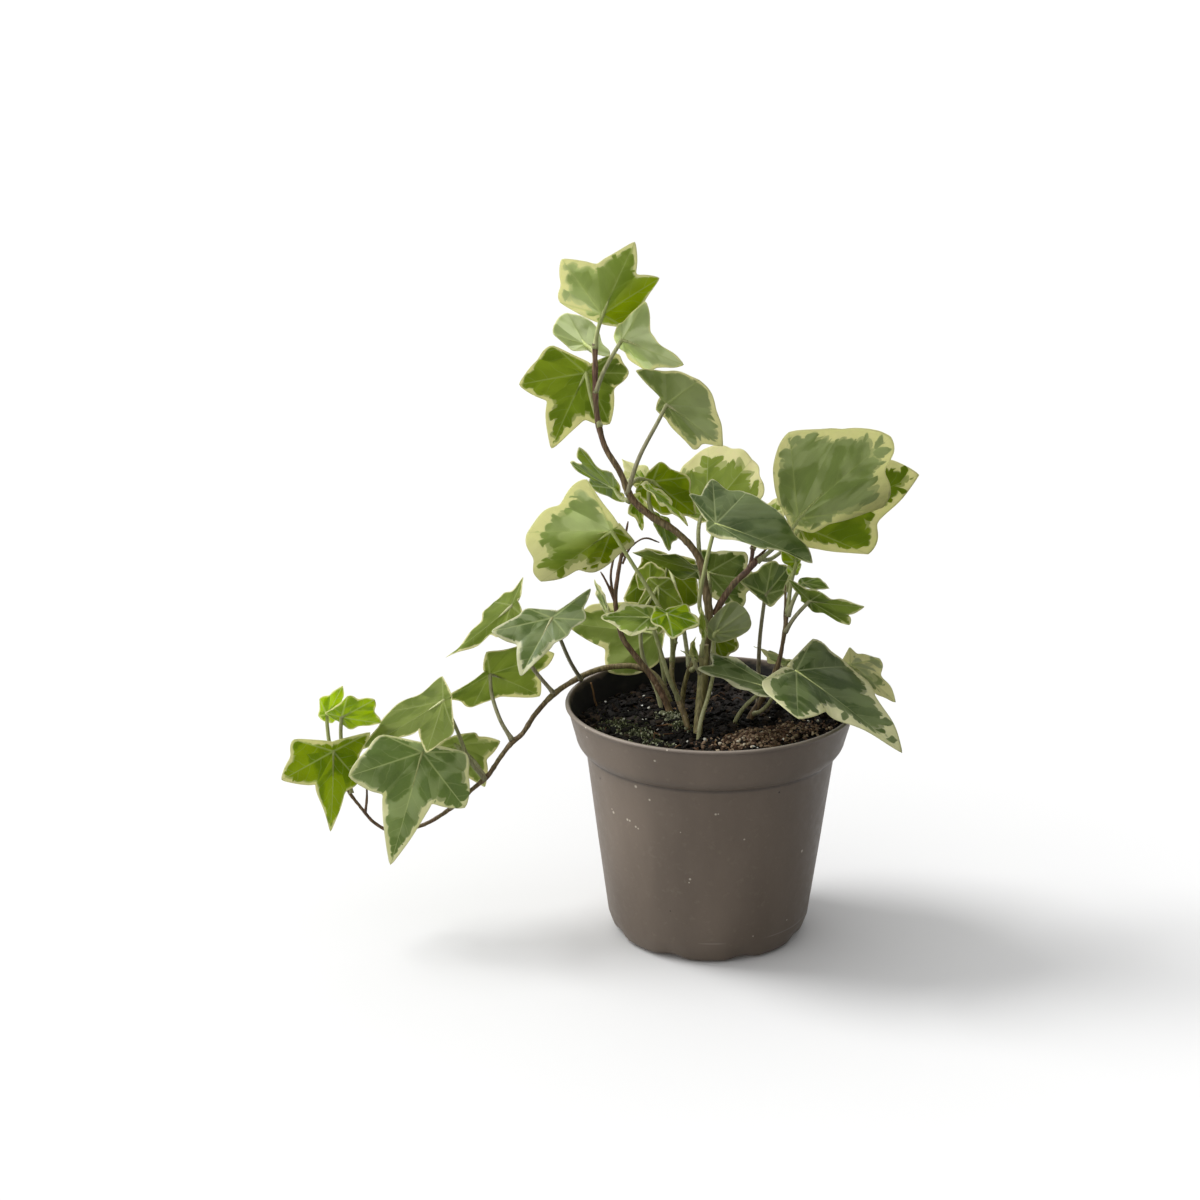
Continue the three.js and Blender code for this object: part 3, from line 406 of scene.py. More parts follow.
def smooth_path(points, spacing):
    """Points of a centripetal Catmull-Rom curve through the given points, about spacing apart."""
    p = [Vector(point) for point in points]
    p = [2 * p[0] - p[1], *p, 2 * p[-1] - p[-2]]
    path = []
    for a, b, c, d in zip(p, p[1:], p[2:], p[3:]):
        t1 = (b - a).length ** 0.5
        t2 = t1 + (c - b).length ** 0.5
        t3 = t2 + (d - c).length ** 0.5
        count = max(2, round((c - b).length / spacing))
        for k in range(count):
            t = t1 + (t2 - t1) * k / count
            ab = a.lerp(b, t / t1)
            bc = b.lerp(c, (t - t1) / (t2 - t1))
            cd = c.lerp(d, (t - t2) / (t3 - t2))
            abc = ab.lerp(bc, t / t2)
            bcd = bc.lerp(cd, (t - t1) / (t3 - t1))
            path.append(abc.lerp(bcd, (t - t1) / (t2 - t1)))
    path.append(p[-2])
    return path


def sweep(bm, path, radii, sides, layer, values):
    """Carries a ring along a path in millimetres and closes both ends; gives the rings' vertices."""
    heads = [(b - a).normalized() for a, b in zip(path, path[1:])]
    heads = [heads[0], *[(a + b).normalized() for a, b in zip(heads, heads[1:])], heads[-1]]
    ring = bmesh.ops.create_circle(bm, segments=sides, radius=radii[0])["verts"]
    turn = UP.rotation_difference(heads[0]).to_matrix().to_4x4()
    bmesh.ops.transform(bm, matrix=Matrix.Translation(path[0]) @ turn, verts=ring)
    edges = list({edge for vert in ring for edge in vert.link_edges})
    rings = [ring]
    ends = [edges]
    for k in range(1, len(path)):
        made = bmesh.ops.extrude_edge_only(bm, edges=edges)["geom"]
        ring = [part for part in made if isinstance(part, bmesh.types.BMVert)]
        fresh = set(ring)
        edges = [part for part in made if isinstance(part, bmesh.types.BMEdge)
                 and part.verts[0] in fresh and part.verts[1] in fresh]
        turn = heads[k - 1].rotation_difference(heads[k]).to_matrix().to_4x4()
        step = (Matrix.Translation(path[k]) @ turn @ Matrix.Scale(radii[k] / radii[k - 1], 4)
                @ Matrix.Translation(-path[k - 1]))
        bmesh.ops.transform(bm, matrix=step, verts=ring)
        rings.append(ring)
    ends.append(edges)
    for edges in ends:
        bmesh.ops.contextual_create(bm, geom=edges)
    for ring, value in zip(rings, values):
        for vert in ring:
            vert[layer] = value
    return rings


def lathe(bm, profile, steps):
    """Turns a profile of points in the XZ plane once round the upright axis, with closed poles."""
    verts = [bm.verts.new((across, 0, z)) for across, z in profile]
    edges = [bm.edges.new(pair) for pair in zip(verts, verts[1:])]
    bmesh.ops.spin(bm, geom=verts + edges, cent=(0, 0, 0), axis=UP, dvec=(0, 0, 0),
                   angle=2 * math.pi, steps=steps, use_merge=True, use_duplicate=False)
    bmesh.ops.remove_doubles(bm, verts=bm.verts, dist=MERGE)
    bmesh.ops.recalc_face_normals(bm, faces=bm.faces)


def to_metres(bm):
    """Scales a bmesh that was made in millimetres."""
    bmesh.ops.scale(bm, vec=(MM, MM, MM), verts=bm.verts)


# ---- pot, in millimetres ------------------------------------------------------------------
POT_HEIGHT = 100.0
RIM_RADIUS = 60.0
WALL = 1.1
CREASE = 80.1                   # height of the crease under the band
PARTING = 10.1                  # height of the mould's parting line
LIP_HIGHLIGHT = (98.8, 99.8)              # the lip is lightened more and more between these heights: a painted highlight, partly wear
SCALLOPS = 8                    # shallow arches in the bottom edge, each with a drainage slot
SCALLOP_RISE = 1.5
FOOT_RADIUS = 34.0              # the arches begin outside this radius
FOOT_HEIGHT = 12.0              # and fade out by this height
POT_STEPS = 192                 # faces round the wall
SLOT_OUT = 40.0                 # distance of a drainage slot from the axis
SLOT_RADIUS = 3.6
SLOT_SQUASH = 0.62              # its height as a share of its width
SLOT_DEPTH = 7.0
INSIDE_SHADE = (99.5, 101.5)           # the inside turns from painted shade to plain plastic between these levels

# Radius and height along the wall's outside, from the middle of the bottom up to the lip.
POT_OUTSIDE = [
    (0, 0), (18, 0), (33, 0), (36, 0.05), (37.6, 0.35), (39.0, 1.1), (39.9, 2.2), (40.6, 4.0),
    (41.4, 6.2), (42.2, 8.6), (44.0, 22), (46.4, 40), (48.8, 59), (51.1, 77), (51.4, 79.3),
    (51.55, 80.0), (51.9, 80.45), (52.9, 81.2), (53.9, 82.1), (54.9, 83.6), (55.45, 84.9),
    (55.75, 86.2), (57.2, 91.5), (58.7, 97.3), (59.0, 98.35), (59.35, 98.6), (59.8, 98.75),
    (60.0, 99.0), (60.0, 99.45), (59.85, 99.8), (59.5, 100.0)]
# And down the inside, from the lip to the middle.
POT_INSIDE = [
    (58.7, 100.0), (58.35, 99.85), (58.15, 99.5), (57.8, 98.3), (55.6, 90), (54.6, 85.4),
    (53.6, 83.4), (50.6, 80.6), (50.2, 79.2), (46.4, 50), (42.6, 20), (41.0, 8.4), (40.2, 5.2),
    (38.8, 3.4), (36.4, 2.6), (20, 1.8), (0, 1.6)]

# Pale nicks on the pot: degrees round it, height, distance from the axis and half size.
NICKS = [(-125, 78, 51.3, 0.8), (-118, 73.5, 50.7, 0.6), (-142, 62, 49.2, 0.8), (-143, 63.2, 49.4, 0.4),
         (-132, 61.5, 49.1, 0.7), (-130.5, 61.4, 49.1, 0.6), (-127, 59.5, 48.9, 0.6),
         (-125.6, 59, 48.8, 0.5), (-87, 70, 50.2, 0.6), (-85.8, 70.1, 50.2, 0.4), (-73, 58, 48.7, 0.5),
         (-36, 45.5, 47.1, 0.8), (-99, 40, 46.4, 0.6), (-99.5, 38.4, 46.2, 0.4), (-112, 93.5, 57.7, 0.6),
         (-64, 12, 42.7, 0.5), (40, 60, 48.9, 0.7), (75, 35, 45.7, 0.6), (130, 52, 47.9, 0.8)]
# Dark specks, in the same way.
SPECKS = [(-57, 77, 51.1, 0.6), (-151, 74.5, 50.8, 0.6), (-110, 24, 44.3, 0.4), (20, 40, 46.4, 0.5)]


def spots_mask(tree, spots):
    """Adds up soft round spots at named places on the pot's wall."""
    place = add(tree, "ShaderNodeTexCoord").outputs["Object"]
    mask = 0.0
    for turn, height, out, size in spots:
        angle = math.radians(turn)
        centre = (out * math.cos(angle) * MM, out * math.sin(angle) * MM, height * MM)
        gap = add(tree, "ShaderNodeVectorMath", {0: place, 1: centre}, operation="DISTANCE")
        spot = add(tree, "ShaderNodeMapRange", {0: gap.outputs["Value"], 1: 0.35 * size * MM,
                                                2: size * MM, 3: 1.0, 4: 0.0})
        mask = add(tree, "ShaderNodeMath", {0: spot, 1: mask}, operation="MAXIMUM")
    return mask


def line_mask(tree, height, level, near, far, strength):
    """A soft level line: strength within near of the level, nothing beyond far, all in millimetres."""
    gap = add(tree, "ShaderNodeMath", {0: height, 1: level * MM}, operation="SUBTRACT")
    gap = add(tree, "ShaderNodeMath", {0: gap}, operation="ABSOLUTE")
    return add(tree, "ShaderNodeMapRange", {0: gap, 1: near * MM, 2: far * MM, 3: strength, 4: 0.0})


def pot_material(sizes):
    # Injection moulded polypropylene: warm grey, satin, with faint flow marks, dust and scuffs.
    made, tree, shader = new_material("taupe_polypropylene")
    flow = add(tree, "ShaderNodeTexNoise", {0: object_pattern(tree, 26, (1, 1, 3)), 2: 1.0, 3: 5.0})
    dust = add(tree, "ShaderNodeTexNoise", {0: object_pattern(tree, 3.5), 2: 1.0, 3: 6.0, 4: 0.65})
    base = ramp(tree, flow, [(0.3, sizes.shade), (0.7, sizes.tint)])
    film = add(tree, "ShaderNodeMapRange", {0: dust, 1: 0.56, 2: 0.8, 3: 0.0, 4: 0.22})
    dusty = add(tree, "ShaderNodeMix", {0: film, 6: base, 7: colour("a39a8c")}, data_type="RGBA")
    height = object_height(tree)
    # Painted highlight along the top of the lip, which also stands partly for wear.
    worn = add(tree, "ShaderNodeMapRange", {0: height, 1: LIP_HIGHLIGHT[0] * MM, 2: LIP_HIGHLIGHT[1] * MM, 3: 0.0, 4: 0.35})
    lip = add(tree, "ShaderNodeMix", {0: worn, 6: dusty, 7: colour("a09890")}, data_type="RGBA")
    # Tiny pale chips, one in a few square centimetres, and the nicks and specks at named places.
    cells = add(tree, "ShaderNodeTexVoronoi", {0: object_pattern(tree, 5.5), 2: 1.0})
    chip = add(tree, "ShaderNodeMapRange",
               {0: cells.outputs["Distance"], 1: 0.045, 2: 0.075, 3: 1.0, 4: 0.0})
    few = add(tree, "ShaderNodeSeparateColor", {0: cells.outputs["Color"]})
    rare = add(tree, "ShaderNodeMath", {0: few.outputs[0], 1: 0.9}, operation="GREATER_THAN")
    chips = add(tree, "ShaderNodeMath", {0: chip, 1: rare}, operation="MULTIPLY")
    nicks = add(tree, "ShaderNodeMath", {0: chips, 1: spots_mask(tree, NICKS)}, operation="MAXIMUM")
    pale = add(tree, "ShaderNodeMix", {0: nicks, 6: lip, 7: colour("c9bfae")}, data_type="RGBA")
    dark = add(tree, "ShaderNodeMix", {0: spots_mask(tree, SPECKS), 6: pale.outputs[2],
                                       7: colour("2e2620")}, data_type="RGBA")
    # Painted shade in the crease under the band, and the faint broken line where the mould parts.
    crease_shade = line_mask(tree, height, CREASE, 0.2, 1.2, 0.55)
    crease_shaded = add(tree, "ShaderNodeMix", {0: crease_shade, 6: dark.outputs[2], 7: colour("2a231d")},
                data_type="RGBA")
    seam = line_mask(tree, height, PARTING, 0.1, 0.4, 0.35)
    broken = add(tree, "ShaderNodeMapRange", {0: flow, 1: 0.48, 2: 0.56, 3: 0.0, 4: 1.0})
    seam = add(tree, "ShaderNodeMath", {0: seam, 1: broken}, operation="MULTIPLY")
    final = add(tree, "ShaderNodeMix", {0: seam, 6: crease_shaded.outputs[2], 7: colour("a9a096")},
                data_type="RGBA")
    grain = add(tree, "ShaderNodeTexNoise", {0: object_pattern(tree, 0.5), 2: 1.0, 3: 3.0})
    relief = add(tree, "ShaderNodeMath", {0: grain, 1: dust}, operation="ADD")
    bump = add(tree, "ShaderNodeBump", {"Strength": 0.12, "Distance": 0.0003, "Height": relief})
    rough = add(tree, "ShaderNodeMapRange", {0: dust, 1: 0.3, 2: 0.8, 3: 0.42, 4: 0.62})
    feed(tree, shader, {"Base Color": final.outputs[2], "Roughness": rough, "Normal": bump})
    return made


def inside_shade_material(sizes):
    # The same plastic inside the pot, painted near black as shade up to just under the lip.
    made, tree, shader = new_material("inside_shaded_polypropylene")
    inside_mottle = add(tree, "ShaderNodeTexNoise", {0: object_pattern(tree, 5, (1, 1, 0.5)), 2: 1.0, 3: 5.0})
    level = add(tree, "ShaderNodeMath", {0: inside_mottle, 1: 0.004, 2: object_height(tree)},
                operation="MULTIPLY_ADD")
    unshaded = add(tree, "ShaderNodeMapRange", {0: level, 1: INSIDE_SHADE[0] * MM, 2: INSIDE_SHADE[1] * MM,
                                             3: 0.0, 4: 1.0})
    painted_shade = ramp(tree, inside_mottle, [(0.3, "0b0a08"), (0.55, "14110f"), (0.75, "25201c")])
    base = add(tree, "ShaderNodeMix", {0: unshaded, 6: painted_shade, 7: colour(sizes.shade)}, data_type="RGBA")
    bump = add(tree, "ShaderNodeBump", {"Strength": 0.3, "Distance": 0.0004, "Height": inside_mottle})
    feed(tree, shader, {"Base Color": base.outputs[2], "Roughness": 0.6, "Normal": bump})
    return made


def cut_slots(pot):
    """Cuts the drainage slots, one under each arch, and keeps the cut mesh."""
    cutters = bmesh.new()
    for k in range(SCALLOPS):
        start = len(cutters.verts)
        turn = Matrix.Rotation(math.radians((k + 0.5) * 360 / SCALLOPS), 4, "Z")
        place = turn @ Matrix.Translation((SLOT_OUT * MM, 0, 0)) @ Matrix.Rotation(math.pi / 2, 4, "Y")
        place = place @ Matrix.Diagonal((SLOT_SQUASH, 1, 1, 1))
        bmesh.ops.create_cone(cutters, cap_ends=True, segments=32, radius1=SLOT_RADIUS * MM,
                              radius2=SLOT_RADIUS * MM, depth=SLOT_DEPTH * MM, matrix=place)
        if len(cutters.verts) == start:
            raise RuntimeError("a drainage slot could not be made")
    mesh = bpy.data.meshes.new("slots")
    cutters.to_mesh(mesh)
    cutters.free()
    slots = bpy.data.objects.new("slots", mesh)
    bpy.context.scene.collection.objects.link(slots)
    cut = pot.modifiers.new("drainage", "BOOLEAN")
    cut.operation = "DIFFERENCE"
    cut.object = slots
    cut.solver = "EXACT"
    bpy.context.view_layer.update()
    shaped = pot.evaluated_get(bpy.context.evaluated_depsgraph_get())
    whole = bpy.data.meshes.new_from_object(shaped)
    pot.modifiers.clear()
    pot.data = whole
    bpy.data.objects.remove(slots)


def shade_inside(mesh):
    """Gives the faces that look inwards the plastic with painted shade, and keeps the sharp edges sharp."""
    bm = bmesh.new()
    bm.from_mesh(mesh)
    for edge in bm.edges:
        edge.smooth = edge.calc_face_angle(0) < math.radians(40)
    for face in bm.faces:
        middle = face.calc_center_median()
        inward = -(face.normal.x * middle.x + face.normal.y * middle.y)
        face.material_index = 1 if inward > 0.2 * math.hypot(middle.x, middle.y) else 0
    bm.to_mesh(mesh)
    bm.free()
    mesh.polygons.foreach_set("use_smooth", [True] * len(mesh.polygons))


def build_pot(sizes):
    """The wall with its lip, band, crease and scalloped foot, turned from one profile."""
    stretch = sizes.rim_radius / MM / RIM_RADIUS
    lift = sizes.height / MM / POT_HEIGHT
    thicker = sizes.wall / MM - WALL
    profile = [(r * stretch, z * lift) for r, z in POT_OUTSIDE]
    profile += [(max(0, r * stretch - thicker), z * lift) for r, z in POT_INSIDE]
    bm = bmesh.new()
    lathe(bm, profile, POT_STEPS)
    for vert in bm.verts:
        # Moulding is never quite round: the rim strays by a tenth of a millimetre.
        turn = math.atan2(vert.co.y, vert.co.x)
        stray = 1 + 0.0016 * math.sin(2 * turn + 0.7) * vert.co.z / 100
        vert.co.x *= stray
        vert.co.y *= stray
        # The bottom edge rises into shallow arches between its feet.
        out = math.hypot(vert.co.x, vert.co.y)
        if out > FOOT_RADIUS and vert.co.z < FOOT_HEIGHT:
            wave = max(0.0, math.cos(SCALLOPS * turn - math.pi)) ** 1.5
            near = min(1.0, max(0.0, (out - FOOT_RADIUS) / 4)) * max(0.0, 1 - vert.co.z / FOOT_HEIGHT)
            vert.co.z += SCALLOP_RISE * wave * near
            vert.co.x *= 1 - 0.012 * wave * near
            vert.co.y *= 1 - 0.012 * wave * near
    to_metres(bm)
    pot = piece("nursery_pot", bm, [pot_material(sizes), inside_shade_material(sizes)], ["pot"])
    cut_slots(pot)
    shade_inside(pot.data)


# ---- soil, in millimetres -----------------------------------------------------------------
SOIL_LEVEL = 90.0
SOIL_STEPS = 220                # faces round the bed
BRINK = 53.0                    # loose grains end about this far out
BRINK_LEVEL = 90.2              # the bed is no higher beyond that
CRUMBS = 2700
GRITS = 1500
PERLITE = 34                    # grains of perlite beside the ones at named places
FIBRES = 46

# Oval patches of the bed: centre, and the square of their spread each way.
HOLLOW = (-15, -17, 60, 60)     # the foot of the stems
RIGHT_HEAP = (25, -20, 240, 240)
LEFT_HEAP = (-32, -16, 160, 160)
DRY_RIGHT = (26, -22, 330, 150)
DRY_LEFT = (-32, -16, 260, 200)

# Perlite that the photo shows.
PERLITE_PLACES = [(-45, 26), (-26, 16.5), (-36, 1), (-28, -1), (-2, -22), (-9, -22.5), (14, -44),
                  (-20, -44)]
# Clumps of moss: centre, reach, number of tufts and how pale they are.
MOSS_CLUMPS = [(-38, -6, 8, 420, 0.5), (-29, -19, 8, 520, 0.55), (-21, -27, 5, 260, 0.6),
               (-17, 4, 5, 420, 0.85), (-12, -5, 4, 260, 0.65), (34, -30, 5, 80, 0.4)]
DRY_ROOT = [(-48, 20, 89.5), (-49, 19, 93), (-49.5, 18, 97), (-50.5, 18, 101)]


def in_patch(x, y, patch):
    """1 in the middle of a patch, falling softly to 0 outside it."""
    across, deep, wide, long = patch
    return math.exp(-((x - across) ** 2 / wide + (y - deep) ** 2 / long))


def ground(x, y):
    """Height of the soil: a loose heap with a hollow at the foot of the stems."""
    z = 90.6 - 1.5 * (math.hypot(x, y) / 54) ** 4
    z += 1.5 * noise.noise(Vector((x, y, 3)) / 15)
    z += 1.1 * noise.noise(Vector((x, y, 9)) / 5)
    z += 0.7 * noise.noise(Vector((x, y, 5)) / 1.8)
    z -= 3.4 * in_patch(x, y, HOLLOW)
    z += 1.8 * in_patch(x, y, RIGHT_HEAP) + 1.6 * in_patch(x, y, LEFT_HEAP)
    return min(z, 94.0)


def soil_material(tints):
    # Moist potting mix of peat and composted bark: nearly black, brown where it has dried.
    made, tree, shader = new_material("potting_mix")
    lumps = add(tree, "ShaderNodeTexNoise", {0: object_pattern(tree, 3), 2: 1.0, 3: 6.0, 4: 0.7})
    damp = add(tree, "ShaderNodeTexNoise", {0: object_pattern(tree, 22), 2: 1.0, 3: 2.0})
    both = add(tree, "ShaderNodeMath", {0: lumps, 1: damp}, operation="ADD")
    mixed = add(tree, "ShaderNodeMath", {0: both, 1: 0.5}, operation="MULTIPLY")
    base = ramp(tree, mixed, [(0.3, "0b0806"), (0.5, tints.moist), (0.62, tints.brown), (0.75, tints.dry)])
    bump = add(tree, "ShaderNodeBump", {"Strength": 0.7, "Distance": 0.001, "Height": lumps})
    feed(tree, shader, {"Base Color": base, "Roughness": 0.85, "Specular IOR Level": 0.35,
                        "Normal": bump})
    return made


def grain_material(name, stops, rough, size_mm):
    # Loose grains; each carries its own tone, from the first colour of the ramp to the last.
    made, tree, shader = new_material(name)
    tone = add(tree, "ShaderNodeAttribute", attribute_name="tone").outputs["Fac"]
    spot = add(tree, "ShaderNodeTexNoise", {0: object_pattern(tree, size_mm), 2: 1.0, 3: 4.0})
    shift = add(tree, "ShaderNodeMath", {0: spot, 1: 0.22, 2: -0.11}, operation="MULTIPLY_ADD")
    level = add(tree, "ShaderNodeMath", {0: tone, 1: shift}, operation="ADD")
    base = ramp(tree, level, stops)
    bump = add(tree, "ShaderNodeBump", {"Strength": 0.5, "Distance": 0.0004, "Height": spot})
    feed(tree, shader, {"Base Color": base, "Roughness": rough, "Specular IOR Level": 0.14,
                        "Normal": bump})
    return made


def build_soil(tints):
    """The bed of potting mix: it fills the pot up to an uneven top."""
    bm = bmesh.new()
    top = [(r, SOIL_LEVEL) for r in np.linspace(54.6, 0.0, 62)]
    side = [(0, 2.2), (34, 3.2), (40.2, 9), (49.8, 80.8), (54.2, 85.5), (54.9, 88.4)]
    lathe(bm, side + top, SOIL_STEPS)
    for vert in bm.verts:
        if vert.co.z > SOIL_LEVEL - 1:
            vert.co.z = ground(vert.co.x, vert.co.y)
            if math.hypot(vert.co.x, vert.co.y) > BRINK:
                vert.co.z = min(vert.co.z, BRINK_LEVEL)
    to_metres(bm)
    piece("soil_bed", bm, [soil_material(tints)], ["soil"])


def base_grain(fineness):
    """A mesh of one unit grain, used for every copy."""
    bm = bmesh.new()
    bmesh.ops.create_icosphere(bm, subdivisions=fineness, radius=1.0)
    mesh = bpy.data.meshes.new("grain")
    bm.to_mesh(mesh)
    bm.free()
    return mesh


def scatter(name, material, grain, places, rng, smooth=False):
    """A piece of loose grains, one at each place: centre, three half sizes, turn and tone."""
    bm = bmesh.new()
    layer = bm.verts.layers.float.new("tone")
    for centre, sizes, turn, tone in places:
        start = len(bm.verts)
        bm.from_mesh(grain)
        bm.verts.ensure_lookup_table()
        matrix = Matrix.Translation(centre) @ turn @ Matrix.Diagonal((*sizes, 1))
        for k in range(start, len(bm.verts)):
            vert = bm.verts[k]
            vert.co = matrix @ (vert.co * rng.uniform(0.72, 1.18))
            vert[layer] = tone
    to_metres(bm)
    piece(name, bm, [material], smooth=smooth)


def any_turn(rng):
    """A random turn of a grain that lies more flat than upright."""
    spin = Matrix.Rotation(rng.uniform(0, 2 * math.pi), 4, "Z")
    tilt = Matrix.Rotation(rng.uniform(-0.9, 0.9), 4, "X")
    return spin @ tilt @ Matrix.Rotation(rng.uniform(0, math.pi), 4, "Z")


def on_disc(radius, rng):
    """A random point of a disc, spread evenly."""
    out = radius * rng.random() ** 0.5
    turn = rng.uniform(0, 2 * math.pi)
    return out * math.cos(turn), out * math.sin(turn)


def some_tone(middle, spread, rng):
    """A random tone between 0 and 1."""
    return min(1.0, max(0.0, rng.gauss(middle, spread)))


def crumb_places(rng):
    """Bark and peat crumbs all over the bed: paler where it is dry, dark in the hollow."""
    places = []
    for _ in range(CRUMBS):
        x, y = on_disc(BRINK + 0.6, rng)
        right = in_patch(x, y, DRY_RIGHT)
        left = in_patch(x, y, DRY_LEFT)
        size = rng.choice([0.5, 0.7, 1.0, 1.7]) * (1 - 0.2 * right)
        value = rng.random() ** 2.6 * 0.62 + right * rng.uniform(-0.1, 0.75) + left * rng.uniform(-0.1, 0.35)
        value *= 1 - 0.8 * in_patch(x, y, HOLLOW)
        sizes = (size * rng.uniform(0.8, 2.0), size, size * rng.uniform(0.35, 0.8))
        places.append((Vector((x, y, ground(x, y) + 0.25 * size)), sizes, any_turn(rng), value))
    return places


def grit_places(rng):
    """Dry grit in a band along the front right of the bed."""
    places = []
    for _ in range(GRITS):
        x = rng.gauss(24, 11)
        y = rng.gauss(0.56 * x - 31, 5)
        if math.hypot(x, y) > BRINK + 0.2:
            continue
        size = rng.uniform(0.4, 0.95)
        sizes = (size * rng.uniform(0.9, 1.8), size, size * rng.uniform(0.6, 1.0))
        value = some_tone(0.38, 0.24, rng)
        z = ground(x, y) + rng.uniform(0.2, 1.3)
        places.append((Vector((x, y, z)), sizes, any_turn(rng), value))
    return places


def perlite_places(rng):
    """White grains: larger ones at named places, smaller ones anywhere."""
    spots = [(x, y, rng.uniform(0.55, 1.0)) for x, y in PERLITE_PLACES]
    for _ in range(PERLITE):
        spots.append((*on_disc(BRINK - 1, rng), rng.uniform(0.35, 0.85)))
    places = []
    for x, y, size in spots:
        sizes = (size * rng.uniform(0.9, 1.4), size, size * rng.uniform(0.7, 1.0))
        places.append((Vector((x, y, ground(x, y) + 0.5 * size)), sizes, any_turn(rng), rng.random()))
    return places


def moss_places(rng):
    """Tufts of moss in clumps; the palest clump stands highest."""
    places = []
    for cx, cy, reach, count, pale in MOSS_CLUMPS:
        rise = 2.6 if pale > 0.6 else 1.2
        for _ in range(count):
            x = rng.gauss(cx, reach * 0.6)
            y = rng.gauss(cy, reach * 0.45)
            if math.hypot(x, y) > BRINK:
                continue
            near = math.exp(-((x - cx) ** 2 + (y - cy) ** 2) / reach ** 2)
            size = rng.uniform(0.25, 0.6)
            sizes = (size, size * rng.uniform(0.5, 1.0), size * rng.uniform(0.8, 2.2))
            z = ground(x, y) + rise * near * rng.random()
            value = some_tone(pale, 0.26, rng)
            places.append((Vector((x, y, z)), sizes, any_turn(rng), value))
    return places


def build_fibres(rng):
    """Fine root fibres that lie on the bed, and one dry root that stands up under a shoot."""
    bm = bmesh.new()
    tone = bm.verts.layers.float.new("tone")
    for _ in range(FIBRES):
        out = rng.uniform(8, 47)
        turn = rng.uniform(0, 2 * math.pi)
        x, y = out * math.cos(turn), out * math.sin(turn)
        head = rng.uniform(0, 2 * math.pi)
        path = []
        for k in range(rng.randint(4, 7)):
            path.append(Vector((x, y, ground(x, y) + 0.3 + 0.9 * math.sin(k))))
            head += rng.uniform(-0.7, 0.7)
            x += 1.6 * math.cos(head)
            y += 1.6 * math.sin(head)
            if math.hypot(x, y) > BRINK:
                break
        if len(path) > 2:
            thick = rng.uniform(0.16, 0.34)
            radii = [thick] * (len(path) - 1) + [thick * 0.4]
            sweep(bm, path, radii, 5, tone, [rng.uniform(0.1, 0.8)] * len(path))
    root = smooth_path(DRY_ROOT, 1)
    sweep(bm, root, [0.5 - 0.012 * k for k in range(len(root))], 6, tone, [0.75] * len(root))
    to_metres(bm)
    material = grain_material("root_fibres", [(0.0, "2b1c12"), (0.5, "5b4029"), (1.0, "9a7a56")], 0.8, 0.6)
    piece("root_fibres", bm, [material])


def build_grit():
    """Loose bark, grit, perlite, moss and fibres on the bed; they share one run of random numbers."""
    rng = random.Random(7)
    mix = grain_material("bark_and_peat_crumbs", [
        (0.0, "090705"), (0.35, "17110c"), (0.6, "35291e"), (0.8, "6d5a46"), (1.0, "a99b83")], 0.8, 0.9)
    grit = grain_material("dry_grit", [
        (0.0, "2a1d14"), (0.3, "5a4333"), (0.55, "86705a"), (0.8, "b3a288"), (1.0, "ddd3bf")], 0.75, 0.5)
    stones = grain_material("perlite", [(0.0, "b9b7ab"), (0.6, "dedcd2"), (1.0, "f4f3ee")], 0.75, 0.6)
    mossy = grain_material("moss", [
        (0.0, "17190f"), (0.4, "33381f"), (0.75, "6c7052"), (1.0, "b3b59c")], 0.9, 0.5)
    angular, rounder = base_grain(1), base_grain(2)
    scatter("bark_crumbs", mix, angular, crumb_places(rng), rng)
    scatter("dry_grit", grit, angular, grit_places(rng), rng)
    scatter("perlite_grains", stones, rounder, perlite_places(rng), rng, smooth=True)
    scatter("moss_tufts", mossy, angular, moss_places(rng), rng)
    build_fibres(rng)


# ---- shoots, in millimetres ---------------------------------------------------------------
STEM_SIDES = 14
SOFT_TIPS = ("crossing_shoot", "left_stem", "right_stem", "trailing_stem")


def stem_material(tints):
    # Ivy stem: young parts olive green, older parts brown bark with pale lenticels and ridges.
    made, tree, shader = new_material("ivy_stem")
    green = add(tree, "ShaderNodeAttribute", attribute_name="green").outputs["Fac"]
    streak = add(tree, "ShaderNodeTexNoise", {0: object_pattern(tree, 0.8, (1, 1, 7)), 2: 1.0, 3: 4.0})
    blotch = add(tree, "ShaderNodeTexNoise", {0: object_pattern(tree, 6, (1, 1, 2)), 2: 1.0, 3: 3.0})
    bark = ramp(tree, streak, [(0.3, tints.crevice), (0.5, tints.bark), (0.7, tints.ridge)])
    young = ramp(tree, streak, [(0.3, "5f5a34"), (0.5, tints.young), (0.75, "a59f6b")])
    share = add(tree, "ShaderNodeMath", {0: blotch, 1: 0.9, 2: -0.45}, operation="MULTIPLY_ADD")
    shift = add(tree, "ShaderNodeMath", {0: green, 1: share}, operation="ADD", use_clamp=True)
    base = add(tree, "ShaderNodeMix", {0: shift, 6: bark, 7: young}, data_type="RGBA")
    cells = add(tree, "ShaderNodeTexVoronoi", {0: object_pattern(tree, 1.5, (1, 1, 1.6)), 2: 1.0})
    dot = add(tree, "ShaderNodeMapRange", {0: cells.outputs["Distance"], 1: 0.12, 2: 0.2, 3: 1.0, 4: 0.0})
    few = add(tree, "ShaderNodeSeparateColor", {0: cells.outputs["Color"]})
    rare = add(tree, "ShaderNodeMath", {0: few.outputs[1], 1: 0.72}, operation="GREATER_THAN")
    pores = add(tree, "ShaderNodeMath", {0: dot, 1: rare}, operation="MULTIPLY")
    final = add(tree, "ShaderNodeMix", {0: pores, 6: base.outputs[2], 7: colour("a8967f")},
                data_type="RGBA")
    relief = add(tree, "ShaderNodeMath", {0: streak, 1: pores}, operation="ADD")
    bump = add(tree, "ShaderNodeBump", {"Strength": 0.6, "Distance": 0.0003, "Height": relief})
    feed(tree, shader, {"Base Color": final.outputs[2], "Roughness": 0.6, "Normal": bump})
    return made


